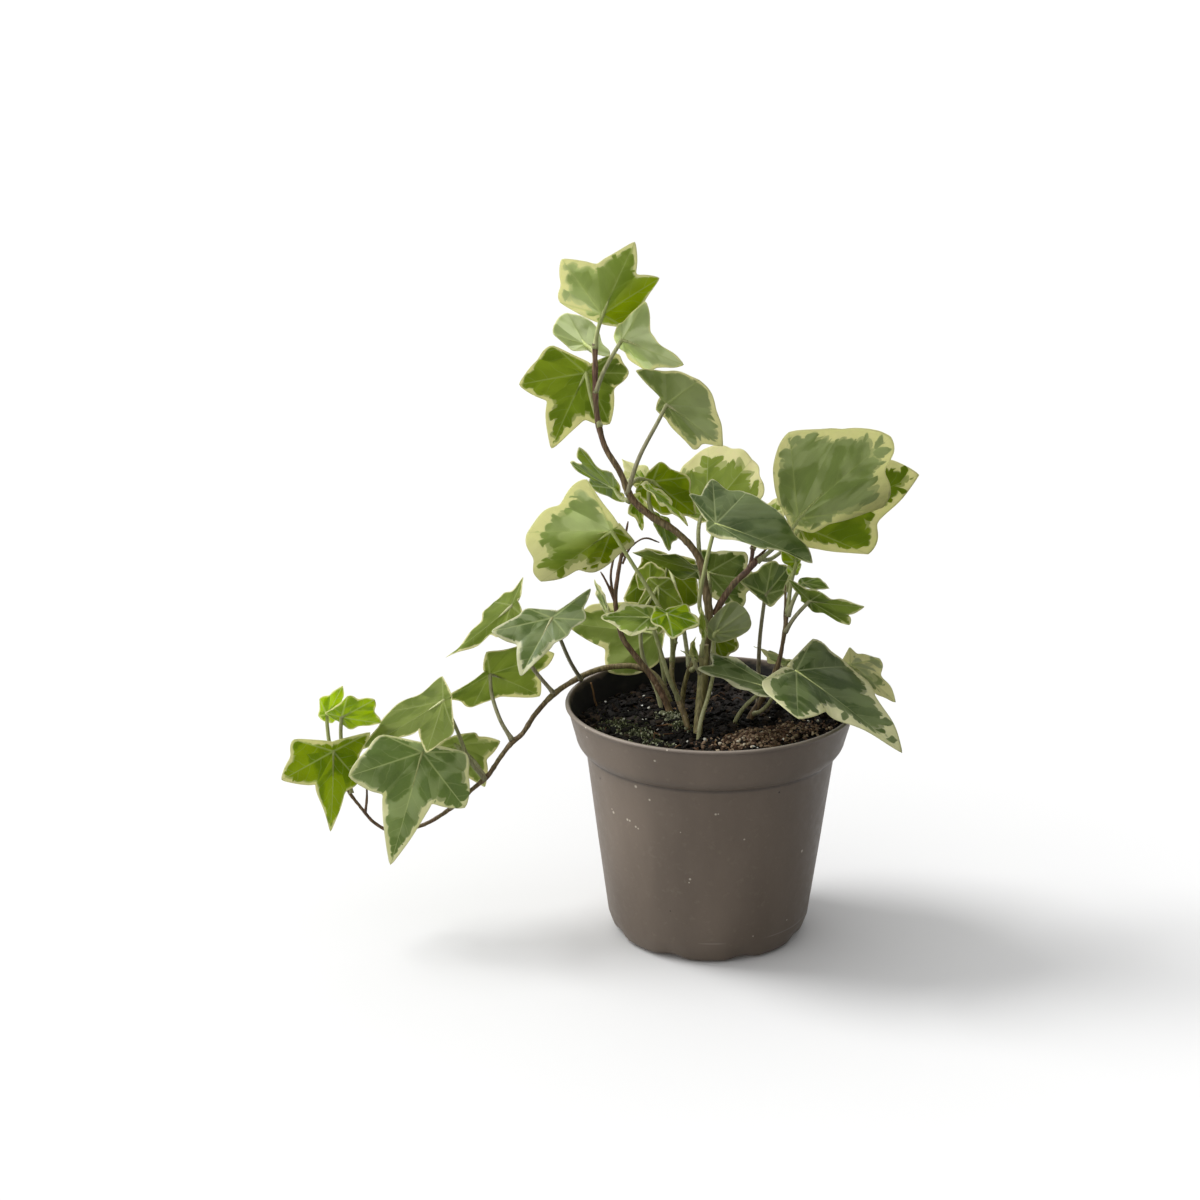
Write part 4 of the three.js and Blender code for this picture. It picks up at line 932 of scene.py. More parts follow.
def cut_material():
    # Old pruning cut: dry pale wood, mottled darker.
    made, tree, shader = new_material("pruned_wood")
    mottle = add(tree, "ShaderNodeTexNoise", {0: object_pattern(tree, 0.7), 2: 1.0, 3: 4.0})
    base = ramp(tree, mottle, [(0.3, "8a7a60"), (0.6, "b8aa8e"), (0.8, "d2c7ad")])
    feed(tree, shader, {"Base Color": base, "Roughness": 0.85})
    return made


def stem_radii(path, start, end, slim, joints, rng):
    """A rod's radii: it tapers, swells at its nodes and under the stalks, and is never quite even."""
    nodes = [rng.uniform(0, 8)]
    while nodes[-1] < 400:
        nodes.append(nodes[-1] + rng.uniform(9, 17))
    run = 0.0
    radii = []
    for k, point in enumerate(path):
        run += (point - path[k - 1]).length if k else 0.0
        share = k / (len(path) - 1)
        radius = slim * (start + (end - start) * share)
        gap = min(abs(run - node) for node in nodes)
        radius *= 1 + 0.08 * math.exp(-(gap / 0.8) ** 2)
        near = min(((point - joint).length for joint in joints), default=99)
        radius *= 1 + 0.16 * math.exp(-(max(0, near - 1.0) / 1.6) ** 2)
        radius *= 1 + 0.04 * noise.noise(point / 3)
        radii.append(radius)
    return radii


def prune(bm):
    """Sinks the top end of a cut trunk a little and bares its wood."""
    top = max(vert.co.z for vert in bm.verts)
    for face in bm.faces:
        if len(face.verts) > 4 and face.calc_center_median().z > top - 3:
            cap = bmesh.ops.inset_region(bm, faces=[face], thickness=0.5, depth=-0.25)
            for bare in (face, *cap["faces"]):
                bare.material_index = 1
            break


def build_shoots(tints):
    """Every shoot: its rods are swept in bark, with soft tips and the stubs of its side shoots."""
    bark = stem_material(tints)
    wood = cut_material()
    for name, plan in SHOOTS.items():
        rng = random.Random(name)
        bm = bmesh.new()
        green = bm.verts.layers.float.new("green")
        first, last = plan["green"]
        joints = [Vector(row["stalk"][0]) for row in LEAVES if row["shoot"] == name]
        for index, (points, start, end) in enumerate(plan["rods"]):
            path = smooth_path(points, 0.9)
            radii = stem_radii(path, start, end, plan["slim"], joints, rng)
            if index or name in SOFT_TIPS:
                radii[-1] *= 0.55
                radii[-2] *= 0.85
            values = [last] * len(path)
            if index == 0:
                values = [first + (last - first) * k / (len(path) - 1) for k in range(len(path))]
            rings = sweep(bm, path, radii, STEM_SIDES, green, values)
            for ring, point in zip(rings, path):
                for vert in ring:
                    out = (vert.co - point).normalized()
                    spot = Vector((vert.co.x, vert.co.y, vert.co.z / 4)) / 0.8
                    vert.co += out * 0.13 * noise.noise(spot)
        if name == "cut_trunk":
            prune(bm)
        bmesh.ops.recalc_face_normals(bm, faces=bm.faces)
        to_metres(bm)
        piece(name + "_bark", bm, [bark, wood], [name])


# ---- leaves, in millimetres ---------------------------------------------------------------
FINE_STEP = 0.25                # spacing of the fine outline
TIP_REACH = 11.0                # steps of the fine outline over which a tip stays sharp
SHARES = [0, 0.06, 0.13, 0.21, 0.3, 0.4, 0.5, 0.6, 0.7, 0.79, 0.87, 0.93, 0.97, 1.0]
SMALL_SHARES = [0, 0.12, 0.26, 0.42, 0.58, 0.73, 0.86, 0.95, 1.0]
SMALL_LEAF = 19.0               # leaves up to this length have the coarser mesh
RIB_APART = 200.0               # the lobes' places along their ribs are kept this far apart
SIDE_VEINS = 6.4                # spacing of the side veins
STALK_RADIUS = 0.94
STALK_SIDES = 8
STALK_STEP = 1.2


def chord_radius(angle, start, end):
    """Distance from the stalk to the straight line between two corners of the outline."""
    across = math.sin(math.radians(end[0] - start[0]))
    near_start = end[1] * math.sin(math.radians(end[0] - angle))
    near_end = start[1] * math.sin(math.radians(angle - start[0]))
    return start[1] * end[1] * across / (near_end + near_start)


def flat_point(angle, length):
    """A point of the flat leaf, with the stalk's end at the origin."""
    return np.array([math.cos(math.radians(angle)), math.sin(math.radians(angle))]) * length


def leaf_corners(plan):
    """The outline's corners round the leaf: angle, distance and whether it is the tip of a lobe."""
    lobes = plan["lobes"]
    base = min(BASE_NOTCH, BASE_SHARE * plan["longest"])
    corners = [(-180, base, False)]
    for k, lobe in enumerate(lobes):
        corners.append((*lobe, True))
        if k + 1 < len(lobes):
            after = lobes[k + 1]
            angle = (lobe[0] + after[0]) / 2
            bay = plan["bays"][k] if plan["bays"] else plan["notch"] * chord_radius(angle, lobe, after)
            corners.append((angle, bay, False))
    return [*corners, (180, base, False)]


def swollen_outline(corners):
    """A fine line that swells between the corners, and where in it each corner is."""
    fine, starts = [], []
    for corner, after in zip(corners, corners[1:]):
        angle = (corner[0] + after[0]) / 2
        middle = flat_point(angle, LOBE_BULGE * chord_radius(angle, corner[:2], after[:2]))
        a, b = flat_point(*corner[:2]), flat_point(*after[:2])
        pull = 2 * middle - (a + b) / 2
        count = max(6, int(np.linalg.norm(b - a) / FINE_STEP))
        starts.append(len(fine))
        for step in range(count):
            t = step / count
            fine.append((1 - t) ** 2 * a + 2 * t * (1 - t) * pull + t * t * b)
    return np.array(fine), starts


def rounded(line, width):
    """A closed line, smoothed over a width that is counted in its steps."""
    reach = int(4 * width) + 1
    shifts = np.arange(-reach, reach + 1)
    weights = np.exp(-0.5 * (shifts / width) ** 2)
    weights /= weights.sum()
    return sum(w * np.roll(line, -shift, axis=0) for w, shift in zip(weights, shifts))


def leaf_margin(plan):
    """The spokes' ends and each one's lobe, the rounded outline, and the tips that the ribs run to."""
    corners = leaf_corners(plan)
    fine, starts = swollen_outline(corners)
    total = len(fine)
    tips = [start for start, corner in zip(starts, corners) if corner[2]]
    # The bays are rounded widely and the tips a little.
    gap = np.min([np.minimum(abs(np.arange(total) - tip), total - abs(np.arange(total) - tip))
                  for tip in tips], axis=0)
    keep = np.exp(-(gap / TIP_REACH) ** 2)[:, None]
    size = min(1.0, plan["longest"] / 30)
    tip_width = plan["blunt"] * (1.6 * size + 0.4)
    fine = keep * rounded(fine, tip_width) + (1 - keep) * rounded(fine, 5.5 * size + 0.5)
    steps = np.linalg.norm(np.roll(fine, -1, axis=0) - fine, axis=1)
    spacing = max(0.55, plan["longest"] / 30)
    ends, owner = [], []
    lobe = 0
    for k, (start, stop) in enumerate(zip(starts, [*starts[1:], total])):
        if k and not corners[k][2]:
            lobe += 1
        count = max(3, round(steps[start:stop].sum() / spacing))
        for step in range(count):
            spoke = start + (stop - start) * step / count
            low = int(spoke)
            share = spoke - low
            ends.append(fine[low] * (1 - share) + fine[(low + 1) % total] * share)
            owner.append(min(lobe, len(tips) - 1))
    return np.array(ends), owner, fine, [fine[tip] for tip in tips]


def bent(plan, x, y, lift):
    """Bends the flat blade: both halves rise by the fold and the tip sinks by the droop."""
    droop = math.radians(plan["droop"])
    fold = math.radians(plan["fold"])
    curl = droop / plan["longest"]
    height = lift + abs(y) * math.sin(fold)
    start = -droop / 2
    turn = curl * x + start
    along = (math.sin(turn) - math.sin(start)) / curl + height * math.sin(turn)
    rise = (math.cos(turn) - math.cos(start)) / curl + height * math.cos(turn)
    return Vector((along, y * math.cos(fold), rise))


def leaf_turn(plan):
    """Matrix from a bent leaf at the origin to its place and turn on the plant."""
    heading, pitch, roll = [math.radians(value) for value in plan["pose"]]
    turn = Matrix.Rotation(heading, 4, "Z") @ Matrix.Rotation(-pitch, 4, "Y")
    return Matrix.Translation(plan["at"]) @ turn @ Matrix.Rotation(roll, 4, "X")


def turns_round(spot):
    """How far round the stalk a point of the shell is, from 0 up to 1."""
    return (math.atan2(spot.y, spot.x) % (2 * math.pi)) / (2 * math.pi)


def map_ribs(bm, ends, owner, ribs):
    """Notes the side of each face, and its corners' places along and across its lobe's rib."""
    layer = bm.loops.layers.uv["rib"]
    count = len(ends)
    for face in bm.faces:
        centre = face.calc_center_median()
        lobe = owner[int(turns_round(centre) * count) % count]
        face.material_index = 1 if centre.z < 0 else 0
        rib = ribs[lobe] / np.linalg.norm(ribs[lobe])
        for loop in face.loops:
            spot = loop.vert.co
            spoke = round(turns_round(spot) * count) % count
            x, y = ends[spoke] * min(1.0, math.hypot(spot.x, spot.y))
            loop[layer].uv = (x * rib[0] + y * rib[1] + RIB_APART * lobe, rib[0] * y - rib[1] * x)


def per_lobe(values, ribs):
    """One value for each lobe, also where the whole leaf has the same."""
    return values if isinstance(values, list) else [values] * len(ribs)


def round_leaf(values, ribs, angle):
    """A value at an angle round the leaf, between those of the lobes."""
    angles = [math.atan2(rib[1], rib[0]) for rib in ribs]
    behind = (values[0] + values[-1]) / 2
    return float(np.interp(angle, [-math.pi, *angles, math.pi], [behind, *values, behind]))


def rib_distance(ribs, x, y):
    """Distance from a point of the flat leaf to the nearest rib."""
    return min((abs(r[0] * y - r[1] * x) / np.linalg.norm(r) if r[0] * x + r[1] * y > 0
                else math.hypot(x, y)) for r in ribs)


def shape_blade(bm, plan, number, ends, fine, ribs, turn):
    """Turns the shell into the blade: thin, veined, puffed between its ribs, waved, bent and placed."""
    count = len(ends)
    longest = plan["longest"]
    margin = bm.verts.layers.float_vector["margin"]
    look = bm.verts.layers.float_vector["look"]
    rng = random.Random(number * 17 + 3)
    # One number per rib isn't used any more; drawing them keeps the waves as they were.
    for _ in ribs:
        rng.random()
    waves = [(rng.uniform(0.5, 1.0), freq, rng.uniform(0, 6.3)) for freq in (3, 5, 8)]
    wave_size = 0.58 * min(1.6, longest / 28)
    # Lime given lobe by lobe is partly young green and partly painted glow of light shining through.
    lime_and_glow = per_lobe(plan["lime"], ribs)
    lobe_light_tones = per_lobe(plan["tone"], ribs)
    legs = np.roll(fine, -1, axis=0) - fine
    squares = (legs ** 2).sum(axis=1)
    for vert in bm.verts:
        share = min(1.0, math.hypot(vert.co.x, vert.co.y))
        around = turns_round(vert.co)
        side = 1 if vert.co.z > 0 else -1
        x, y = ends[round(around * count) % count] * share
        spot = np.array([x, y])
        along = np.clip(((spot - fine) * legs).sum(axis=1) / squares, 0, 1)
        edge = float(np.sqrt((((fine + legs * along[:, None]) - spot) ** 2).sum(axis=1).min()))
        angle = math.atan2(y, x)
        # The margin's third value carries the tone: painted light and shade on leaves and lobes, besides
        # their own tone.
        vert[margin] = (edge, round_leaf(plan["cream"], ribs, angle), round_leaf(lobe_light_tones, ribs, angle))
        vert[look] = (plan["grey"], round_leaf(lime_and_glow, ribs, angle), number * 3.7 + 11.3)
        rib_gap = rib_distance(ribs, x, y)
        inside = 1 - share ** 4
        half = 0.09 + 0.13 * (1 - share)
        ridge = 0.42 * max(0.0, 1 - share) ** 0.8 + 0.05
        puff = 0.85 * min(1.3, longest / 30) * (1 - math.exp(-(rib_gap / 3.2) ** 2)) * inside * share ** 0.5
        if side < 0:
            half += ridge * max(0.0, 1 - rib_gap / 0.85) * (share < 0.985)
        else:
            half -= 0.1 * max(0.0, 1 - rib_gap / 1.0) * inside
        wave = sum(size * math.sin(freq * around * 2 * math.pi + phase) for size, freq, phase in waves)
        lift = side * half + puff + wave_size * wave * share ** 3
        vert.co = turn @ bent(plan, x, y, lift)


def add_stalk(bm, plan, turn):
    """Sweeps the stalk, which is thicker at both ends and runs on smoothly into the middle rib."""
    green = bm.verts.layers.float["green"]
    path = smooth_path([*plan["stalk"], turn @ bent(plan, 0, 0, -0.35)], STALK_STEP)
    blade_at = len(path) - 1
    reach = 0.3 * plan["longest"]
    path += [turn @ bent(plan, reach * k / 5, 0, -0.3 + 0.05 * k) for k in range(1, 6)]
    run = 0.0
    radii, values = [], []
    for k, point in enumerate(path):
        run += (point - path[k - 1]).length if k else 0.0
        share = min(1.0, k / blade_at)
        radius = STALK_RADIUS - 0.16 * share + 0.4 * math.exp(-(run / 2.4) ** 2)
        radius += 0.16 * math.exp(-((k - blade_at) / 1.4) ** 2)
        if k > blade_at:
            radius *= 1 - 0.15 * (k - blade_at)
        radii.append(radius)
        values.append(min(1.0, plan["green"] * (0.6 + 0.4 * share) + 0.25 * share ** 6))
    start = len(bm.faces)
    sweep(bm, path, radii, STALK_SIDES, green, values)
    bm.faces.ensure_lookup_table()
    for face in bm.faces[start:]:
        face.material_index = 2
    bmesh.ops.recalc_face_normals(bm, faces=bm.faces[start:])


def build_leaf(plan, number, materials):
    """One leaf: a thin blade with raised ribs, its variegation map, and its stalk."""
    shares = SHARES if plan["longest"] > SMALL_LEAF else SMALL_SHARES
    ends, owner, fine, ribs = leaf_margin(plan)
    turn = leaf_turn(plan)
    bm = bmesh.new()
    bm.loops.layers.uv.new("rib")
    bm.verts.layers.float_vector.new("margin")
    bm.verts.layers.float_vector.new("look")
    bm.verts.layers.float.new("green")
    profile = [(share, -1.0) for share in shares] + [(share, 1.0) for share in reversed(shares)]
    lathe(bm, profile, len(ends))
    map_ribs(bm, ends, owner, ribs)
    shape_blade(bm, plan, number, ends, fine, ribs, turn)
    add_stalk(bm, plan, turn)
    to_metres(bm)
    piece(plan["name"] + "_blade", bm, materials, [plan["name"]])


def leaf_lines(tree, spot, along, aside, slant, colours):
    """How strongly a spot shows a rib or vein, and how far it is from the nearest side vein."""
    phase = add(tree, "ShaderNodeMath", {0: slant, 1: SIDE_VEINS / 2}, operation="PINGPONG")
    side_line = add(tree, "ShaderNodeMapRange", {0: phase, 1: 0.05, 2: 0.34, 3: 1.0, 4: 0.0})
    side_fade = add(tree, "ShaderNodeMapRange", {0: aside, 1: 0.5, 2: 9.0, 3: 1.0, 4: 0.0})
    side_vein = add(tree, "ShaderNodeMath", {0: side_line, 1: side_fade}, operation="MULTIPLY")
    # A rib gets narrower towards the tip of its lobe.
    reach = add(tree, "ShaderNodeMath", {0: along, 1: RIB_APART}, operation="MODULO")
    width = add(tree, "ShaderNodeMapRange", {0: reach, 1: 0.0, 2: 34.0, 3: 0.5, 4: 0.13})
    ratio = add(tree, "ShaderNodeMath", {0: aside, 1: width}, operation="DIVIDE")
    rib_line = add(tree, "ShaderNodeMapRange", {0: ratio, 1: 0.45, 2: 1.25, 3: 1.0, 4: 0.0})
    net = add(tree, "ShaderNodeTexVoronoi", {0: spot, 2: 0.62}, feature="DISTANCE_TO_EDGE")
    net_line = add(tree, "ShaderNodeMapRange", {0: net, 1: 0.0, 2: 0.09, 3: 1.0, 4: 0.0})
    lines = add(tree, "ShaderNodeMath", {0: side_vein, 1: colours["vein"]}, operation="MULTIPLY")
    lines = add(tree, "ShaderNodeMath", {0: rib_line, 1: lines}, operation="MAXIMUM")
    lines = add(tree, "ShaderNodeMath", {0: net_line, 1: 0.05, 2: lines}, operation="MULTIPLY_ADD")
    lines = add(tree, "ShaderNodeMath", {0: lines, 1: colours["rib"]}, operation="MULTIPLY", use_clamp=True)
    return lines, phase


def leaf_zones(tree, spot, slant, outward, seed, margin):
    """Masks of what lies inside the cream margin and of its deeper heart, and their edges' noise."""
    # The green middle ends in rounded fingers, 4 to 5 mm wide, that follow the side veins.
    tooth = add(tree, "ShaderNodeMath", {0: slant, 1: 0.2}, operation="MULTIPLY")
    finger = add(tree, "ShaderNodeMath", {0: outward, 1: 0.055}, operation="MULTIPLY")
    grid = add(tree, "ShaderNodeCombineXYZ", {0: tooth, 1: finger, 2: seed})
    cells = add(tree, "ShaderNodeTexVoronoi", {0: grid, 2: 1.0})
    chance = add(tree, "ShaderNodeSeparateColor", {0: cells.outputs["Color"]})
    rough_edge = add(tree, "ShaderNodeTexNoise", {0: spot, 2: 0.45, 3: 2.0})
    jag = add(tree, "ShaderNodeMath", {0: chance.outputs[0], 1: 0.7, 2: -0.85}, operation="MULTIPLY_ADD")
    jag = add(tree, "ShaderNodeMath", {0: cells.outputs["Distance"], 1: 1.3, 2: jag},
              operation="MULTIPLY_ADD")
    jag = add(tree, "ShaderNodeMath", {0: rough_edge, 1: 0.4, 2: jag}, operation="MULTIPLY_ADD")
    depth = add(tree, "ShaderNodeMath", {0: margin.outputs[1], 1: 4.0}, operation="MINIMUM")
    fingers = add(tree, "ShaderNodeMath", {0: jag, 1: depth}, operation="MULTIPLY")
    cream_width = add(tree, "ShaderNodeMath", {0: margin.outputs[1], 1: 0.75, 2: fingers},
                      operation="MULTIPLY_ADD")
    beyond = add(tree, "ShaderNodeMath", {0: margin.outputs[0], 1: cream_width}, operation="SUBTRACT")
    middle = add(tree, "ShaderNodeMapRange", {0: beyond, 1: -0.1, 2: 0.3, 3: 0.0, 4: 1.0})
    step = add(tree, "ShaderNodeMath", {0: chance.outputs[1], 1: 1.5, 2: -0.75}, operation="MULTIPLY_ADD")
    step = add(tree, "ShaderNodeMath", {0: step, 1: margin.outputs[1]}, operation="MULTIPLY")
    deeper = add(tree, "ShaderNodeMath", {0: beyond, 1: step}, operation="SUBTRACT")
    heart = add(tree, "ShaderNodeMapRange", {0: deeper, 1: -0.1, 2: 0.4, 3: 0.0, 4: 1.0})
    return middle, heart, rough_edge


def leaf_patches(tree, slant, outward, seed, rough_edge):
    """Mask of the marbling: larger angular patches of deeper green."""
    coarse_a = add(tree, "ShaderNodeMath", {0: slant, 1: 0.13}, operation="MULTIPLY")
    coarse_a = add(tree, "ShaderNodeMath", {0: rough_edge, 1: 0.45, 2: coarse_a}, operation="MULTIPLY_ADD")
    coarse_b = add(tree, "ShaderNodeMath", {0: outward, 1: 0.065}, operation="MULTIPLY")
    shifted = add(tree, "ShaderNodeMath", {0: seed, 1: 41.0}, operation="ADD")
    coarse = add(tree, "ShaderNodeCombineXYZ", {0: coarse_a, 1: coarse_b, 2: shifted})
    blocks = add(tree, "ShaderNodeTexVoronoi", {0: coarse, 2: 1.0, "Smoothness": 0.6},
                 feature="SMOOTH_F1")
    pick = add(tree, "ShaderNodeSeparateColor", {0: blocks.outputs["Color"]})
    return add(tree, "ShaderNodeMapRange", {0: pick.outputs[0], 1: 0.3, 2: 0.7, 3: 0.0, 4: 1.0})


def leaf_material(name, upper, colours):
    # Ivy blade with a waxy skin: marbled green middle, cream margin, pale ribs. Light shines through.
    made, tree, shader = new_material(name)
    rib = add(tree, "ShaderNodeSeparateXYZ", {0: add(tree, "ShaderNodeUVMap", uv_map="rib")})
    margin = add(tree, "ShaderNodeSeparateXYZ",
                 {0: add(tree, "ShaderNodeAttribute", attribute_name="margin").outputs["Vector"]})
    look = add(tree, "ShaderNodeSeparateXYZ",
               {0: add(tree, "ShaderNodeAttribute", attribute_name="look").outputs["Vector"]})
    along, across, seed = rib.outputs[0], rib.outputs[1], look.outputs[2]
    aside = add(tree, "ShaderNodeMath", {0: across}, operation="ABSOLUTE")
    hand = add(tree, "ShaderNodeMath", {0: across}, operation="SIGN")
    spot = add(tree, "ShaderNodeCombineXYZ", {0: along, 1: across, 2: seed})
    # Side veins leave their rib at a slant and out of step; slant stays the same all along one.
    sway = add(tree, "ShaderNodeTexNoise", {0: spot, 2: 0.11, 3: 2.0})
    swayed = add(tree, "ShaderNodeMath", {0: sway, 1: 6.0, 2: along}, operation="MULTIPLY_ADD")
    slant = add(tree, "ShaderNodeMath", {0: aside, 1: -0.9, 2: swayed}, operation="MULTIPLY_ADD")
    slant = add(tree, "ShaderNodeMath", {0: hand, 1: 1.5, 2: slant}, operation="MULTIPLY_ADD")
    outward = add(tree, "ShaderNodeMath", {0: swayed, 1: aside}, operation="ADD")
    lines, phase = leaf_lines(tree, spot, along, aside, slant, colours)
    middle, heart, rough_edge = leaf_zones(tree, spot, slant, outward, seed, margin)
    patch = leaf_patches(tree, slant, outward, seed, rough_edge)

    cloud = add(tree, "ShaderNodeTexNoise", {0: spot, 2: 0.07, 3: 2.0})
    plain = add(tree, "ShaderNodeMix", {0: look.outputs[0], 6: colour(colours["dark"]),
                                        7: colour(colours["grey"])}, data_type="RGBA")
    # The lime share is the youngest green and, lobe by lobe, also a painted glow of light shining through.
    lime_glow_mixed = add(tree, "ShaderNodeMix", {0: look.outputs[1], 6: plain.outputs[2],
                                        7: colour(colours["lime"])}, data_type="RGBA")
    mixed = add(tree, "ShaderNodeMix", {0: patch, 6: lime_glow_mixed.outputs[2], 7: colour(colours["patch"])},
                data_type="RGBA", blend_type="MULTIPLY")
    shade = add(tree, "ShaderNodeMapRange", {0: cloud, 1: 0.3, 2: 0.7, 3: 0.86, 4: 1.12})
    # Some leaves, or lobes of a leaf, are paler or deeper, partly in their own tone and partly as painted
    # light and shade; the cream follows by half as much.
    deep = add(tree, "ShaderNodeMath", {0: shade, 1: margin.outputs[2]}, operation="MULTIPLY")
    lit_toned = add(tree, "ShaderNodeMix", {0: 1.0, 6: mixed.outputs[2], 7: deep},
                data_type="RGBA", blend_type="MULTIPLY")
    half_lit_tone = add(tree, "ShaderNodeMath", {0: margin.outputs[2], 1: 0.5}, operation="POWER")
    tan = add(tree, "ShaderNodeTexNoise", {0: spot, 2: 0.25, 3: 3.0})
    cream = ramp(tree, tan, [(0.35, colours["cream"]), (0.7, colours["cream_tan"])])
    # Greyed leaves have a whiter margin.
    cream = add(tree, "ShaderNodeMix", {0: look.outputs[0], 6: cream,
                                        7: colour(colours["cream_grey"])}, data_type="RGBA")
    cream = add(tree, "ShaderNodeMix", {0: 1.0, 6: cream.outputs[2], 7: half_lit_tone}, data_type="RGBA",
                blend_type="MULTIPLY").outputs[2]
    half = add(tree, "ShaderNodeMix", {0: 0.36, 6: lit_toned.outputs[2], 7: cream}, data_type="RGBA")
    outer = add(tree, "ShaderNodeMix", {0: middle, 6: cream, 7: half.outputs[2]}, data_type="RGBA")
    inner = add(tree, "ShaderNodeMix", {0: heart, 6: outer.outputs[2], 7: lit_toned.outputs[2]},
                data_type="RGBA")
    line = add(tree, "ShaderNodeMix", {0: 1.0, 6: colour(colours["line"]), 7: half_lit_tone},
               data_type="RGBA", blend_type="MULTIPLY")
    final = add(tree, "ShaderNodeMix", {0: lines, 6: inner.outputs[2], 7: line.outputs[2]},
                data_type="RGBA").outputs[2]

    # Skin: ribs sunk on the upper side and raised below, tiny cells between the veins.
    skin = add(tree, "ShaderNodeTexNoise", {0: spot, 2: 2.4, 3: 3.0})
    quilt = add(tree, "ShaderNodeMath", {0: phase, 1: 0.14}, operation="MULTIPLY")
    height = add(tree, "ShaderNodeMath", {0: skin, 1: 0.12, 2: quilt}, operation="MULTIPLY_ADD")
    sign = -0.5 if upper else 0.5
    height = add(tree, "ShaderNodeMath", {0: lines, 1: sign, 2: height}, operation="MULTIPLY_ADD")
    bump = add(tree, "ShaderNodeBump", {"Strength": 0.5, "Distance": 0.0004, "Height": height})
    gloss = add(tree, "ShaderNodeMapRange", {0: skin, 1: 0.3, 2: 0.7, 3: colours["gloss"],
                                             4: colours["gloss"] + 0.12})
    feed(tree, shader, {"Base Color": final, "Roughness": gloss, "Normal": bump,
                        "Specular IOR Level": 0.5 if upper else 0.2})
    # Light crosses two skins, so each one takes half of the blade's colour out of it.
    skin_tint = add(tree, "ShaderNodeGamma", {0: final, 1: 0.5})
    warm = add(tree, "ShaderNodeMix", {0: 1.0, 6: skin_tint, 7: colour("fcfee6")},
               data_type="RGBA", blend_type="MULTIPLY")
    through = add(tree, "ShaderNodeBsdfTranslucent", {"Color": warm.outputs[2], "Normal": bump})
    blend = add(tree, "ShaderNodeMixShader", {0: 0.55, 1: shader, 2: through})
    feed(tree, tree.nodes["Material Output"], {"Surface": blend})
    return made


def stalk_material():
    # Leaf stalk: smooth, green near the blade and grey brown towards the stem.
    made, tree, shader = new_material("leaf_stalk")
    green = add(tree, "ShaderNodeAttribute", attribute_name="green").outputs["Fac"]
    streak = add(tree, "ShaderNodeTexNoise", {0: object_pattern(tree, 0.7, (1, 1, 8)), 2: 1.0, 3: 3.0})
    old = ramp(tree, streak, [(0.3, "7a6f5e"), (0.7, "a89d88")])
    young = ramp(tree, streak, [(0.3, "a0ad5a"), (0.7, "cdd88c")])
    base = add(tree, "ShaderNodeMix", {0: green, 6: old, 7: young}, data_type="RGBA")
    bump = add(tree, "ShaderNodeBump", {"Strength": 0.3, "Distance": 0.0002, "Height": streak})
    feed(tree, shader, {"Base Color": base.outputs[2], "Roughness": 0.5, "Normal": bump})
    return made


UPPER_SKIN = {"patch": "aabb8c", "cream_tan": "e8e3bd", "cream_grey": "dfe0cc", "vein": 0.45,
              "rib": 0.66, "gloss": 0.34}
UNDER_SKIN = {"patch": "e2e8c8", "cream_tan": "ebe1b6", "cream_grey": "e7e1b0", "vein": 0.5,
              "rib": 0.4, "gloss": 0.55}


def side_colours(tints, skin):
    """The colours of one side of a leaf: those from the panel and those that stay."""
    return {**skin, "dark": tints.green, "grey": tints.grey, "lime": tints.lime, "cream": tints.cream,
            "line": tints.veins}


def build_leaves(above, below):
    """Every leaf of the table, each a piece of its own."""
    materials = [leaf_material("leaf_upper_side", True, side_colours(above, UPPER_SKIN)),
                 leaf_material("leaf_underside", False, side_colours(below, UNDER_SKIN)),
                 stalk_material()]
    for number, plan in enumerate(LEAVES):
        build_leaf(plan, number, materials)


# ---- stage --------------------------------------------------------------------------------
def aim(place, target):
    """Matrix of a lamp or camera at place that looks at target."""
    look = Vector(target) - Vector(place)
    return Matrix.Translation(place) @ look.to_track_quat("-Z", "Y").to_matrix().to_4x4()


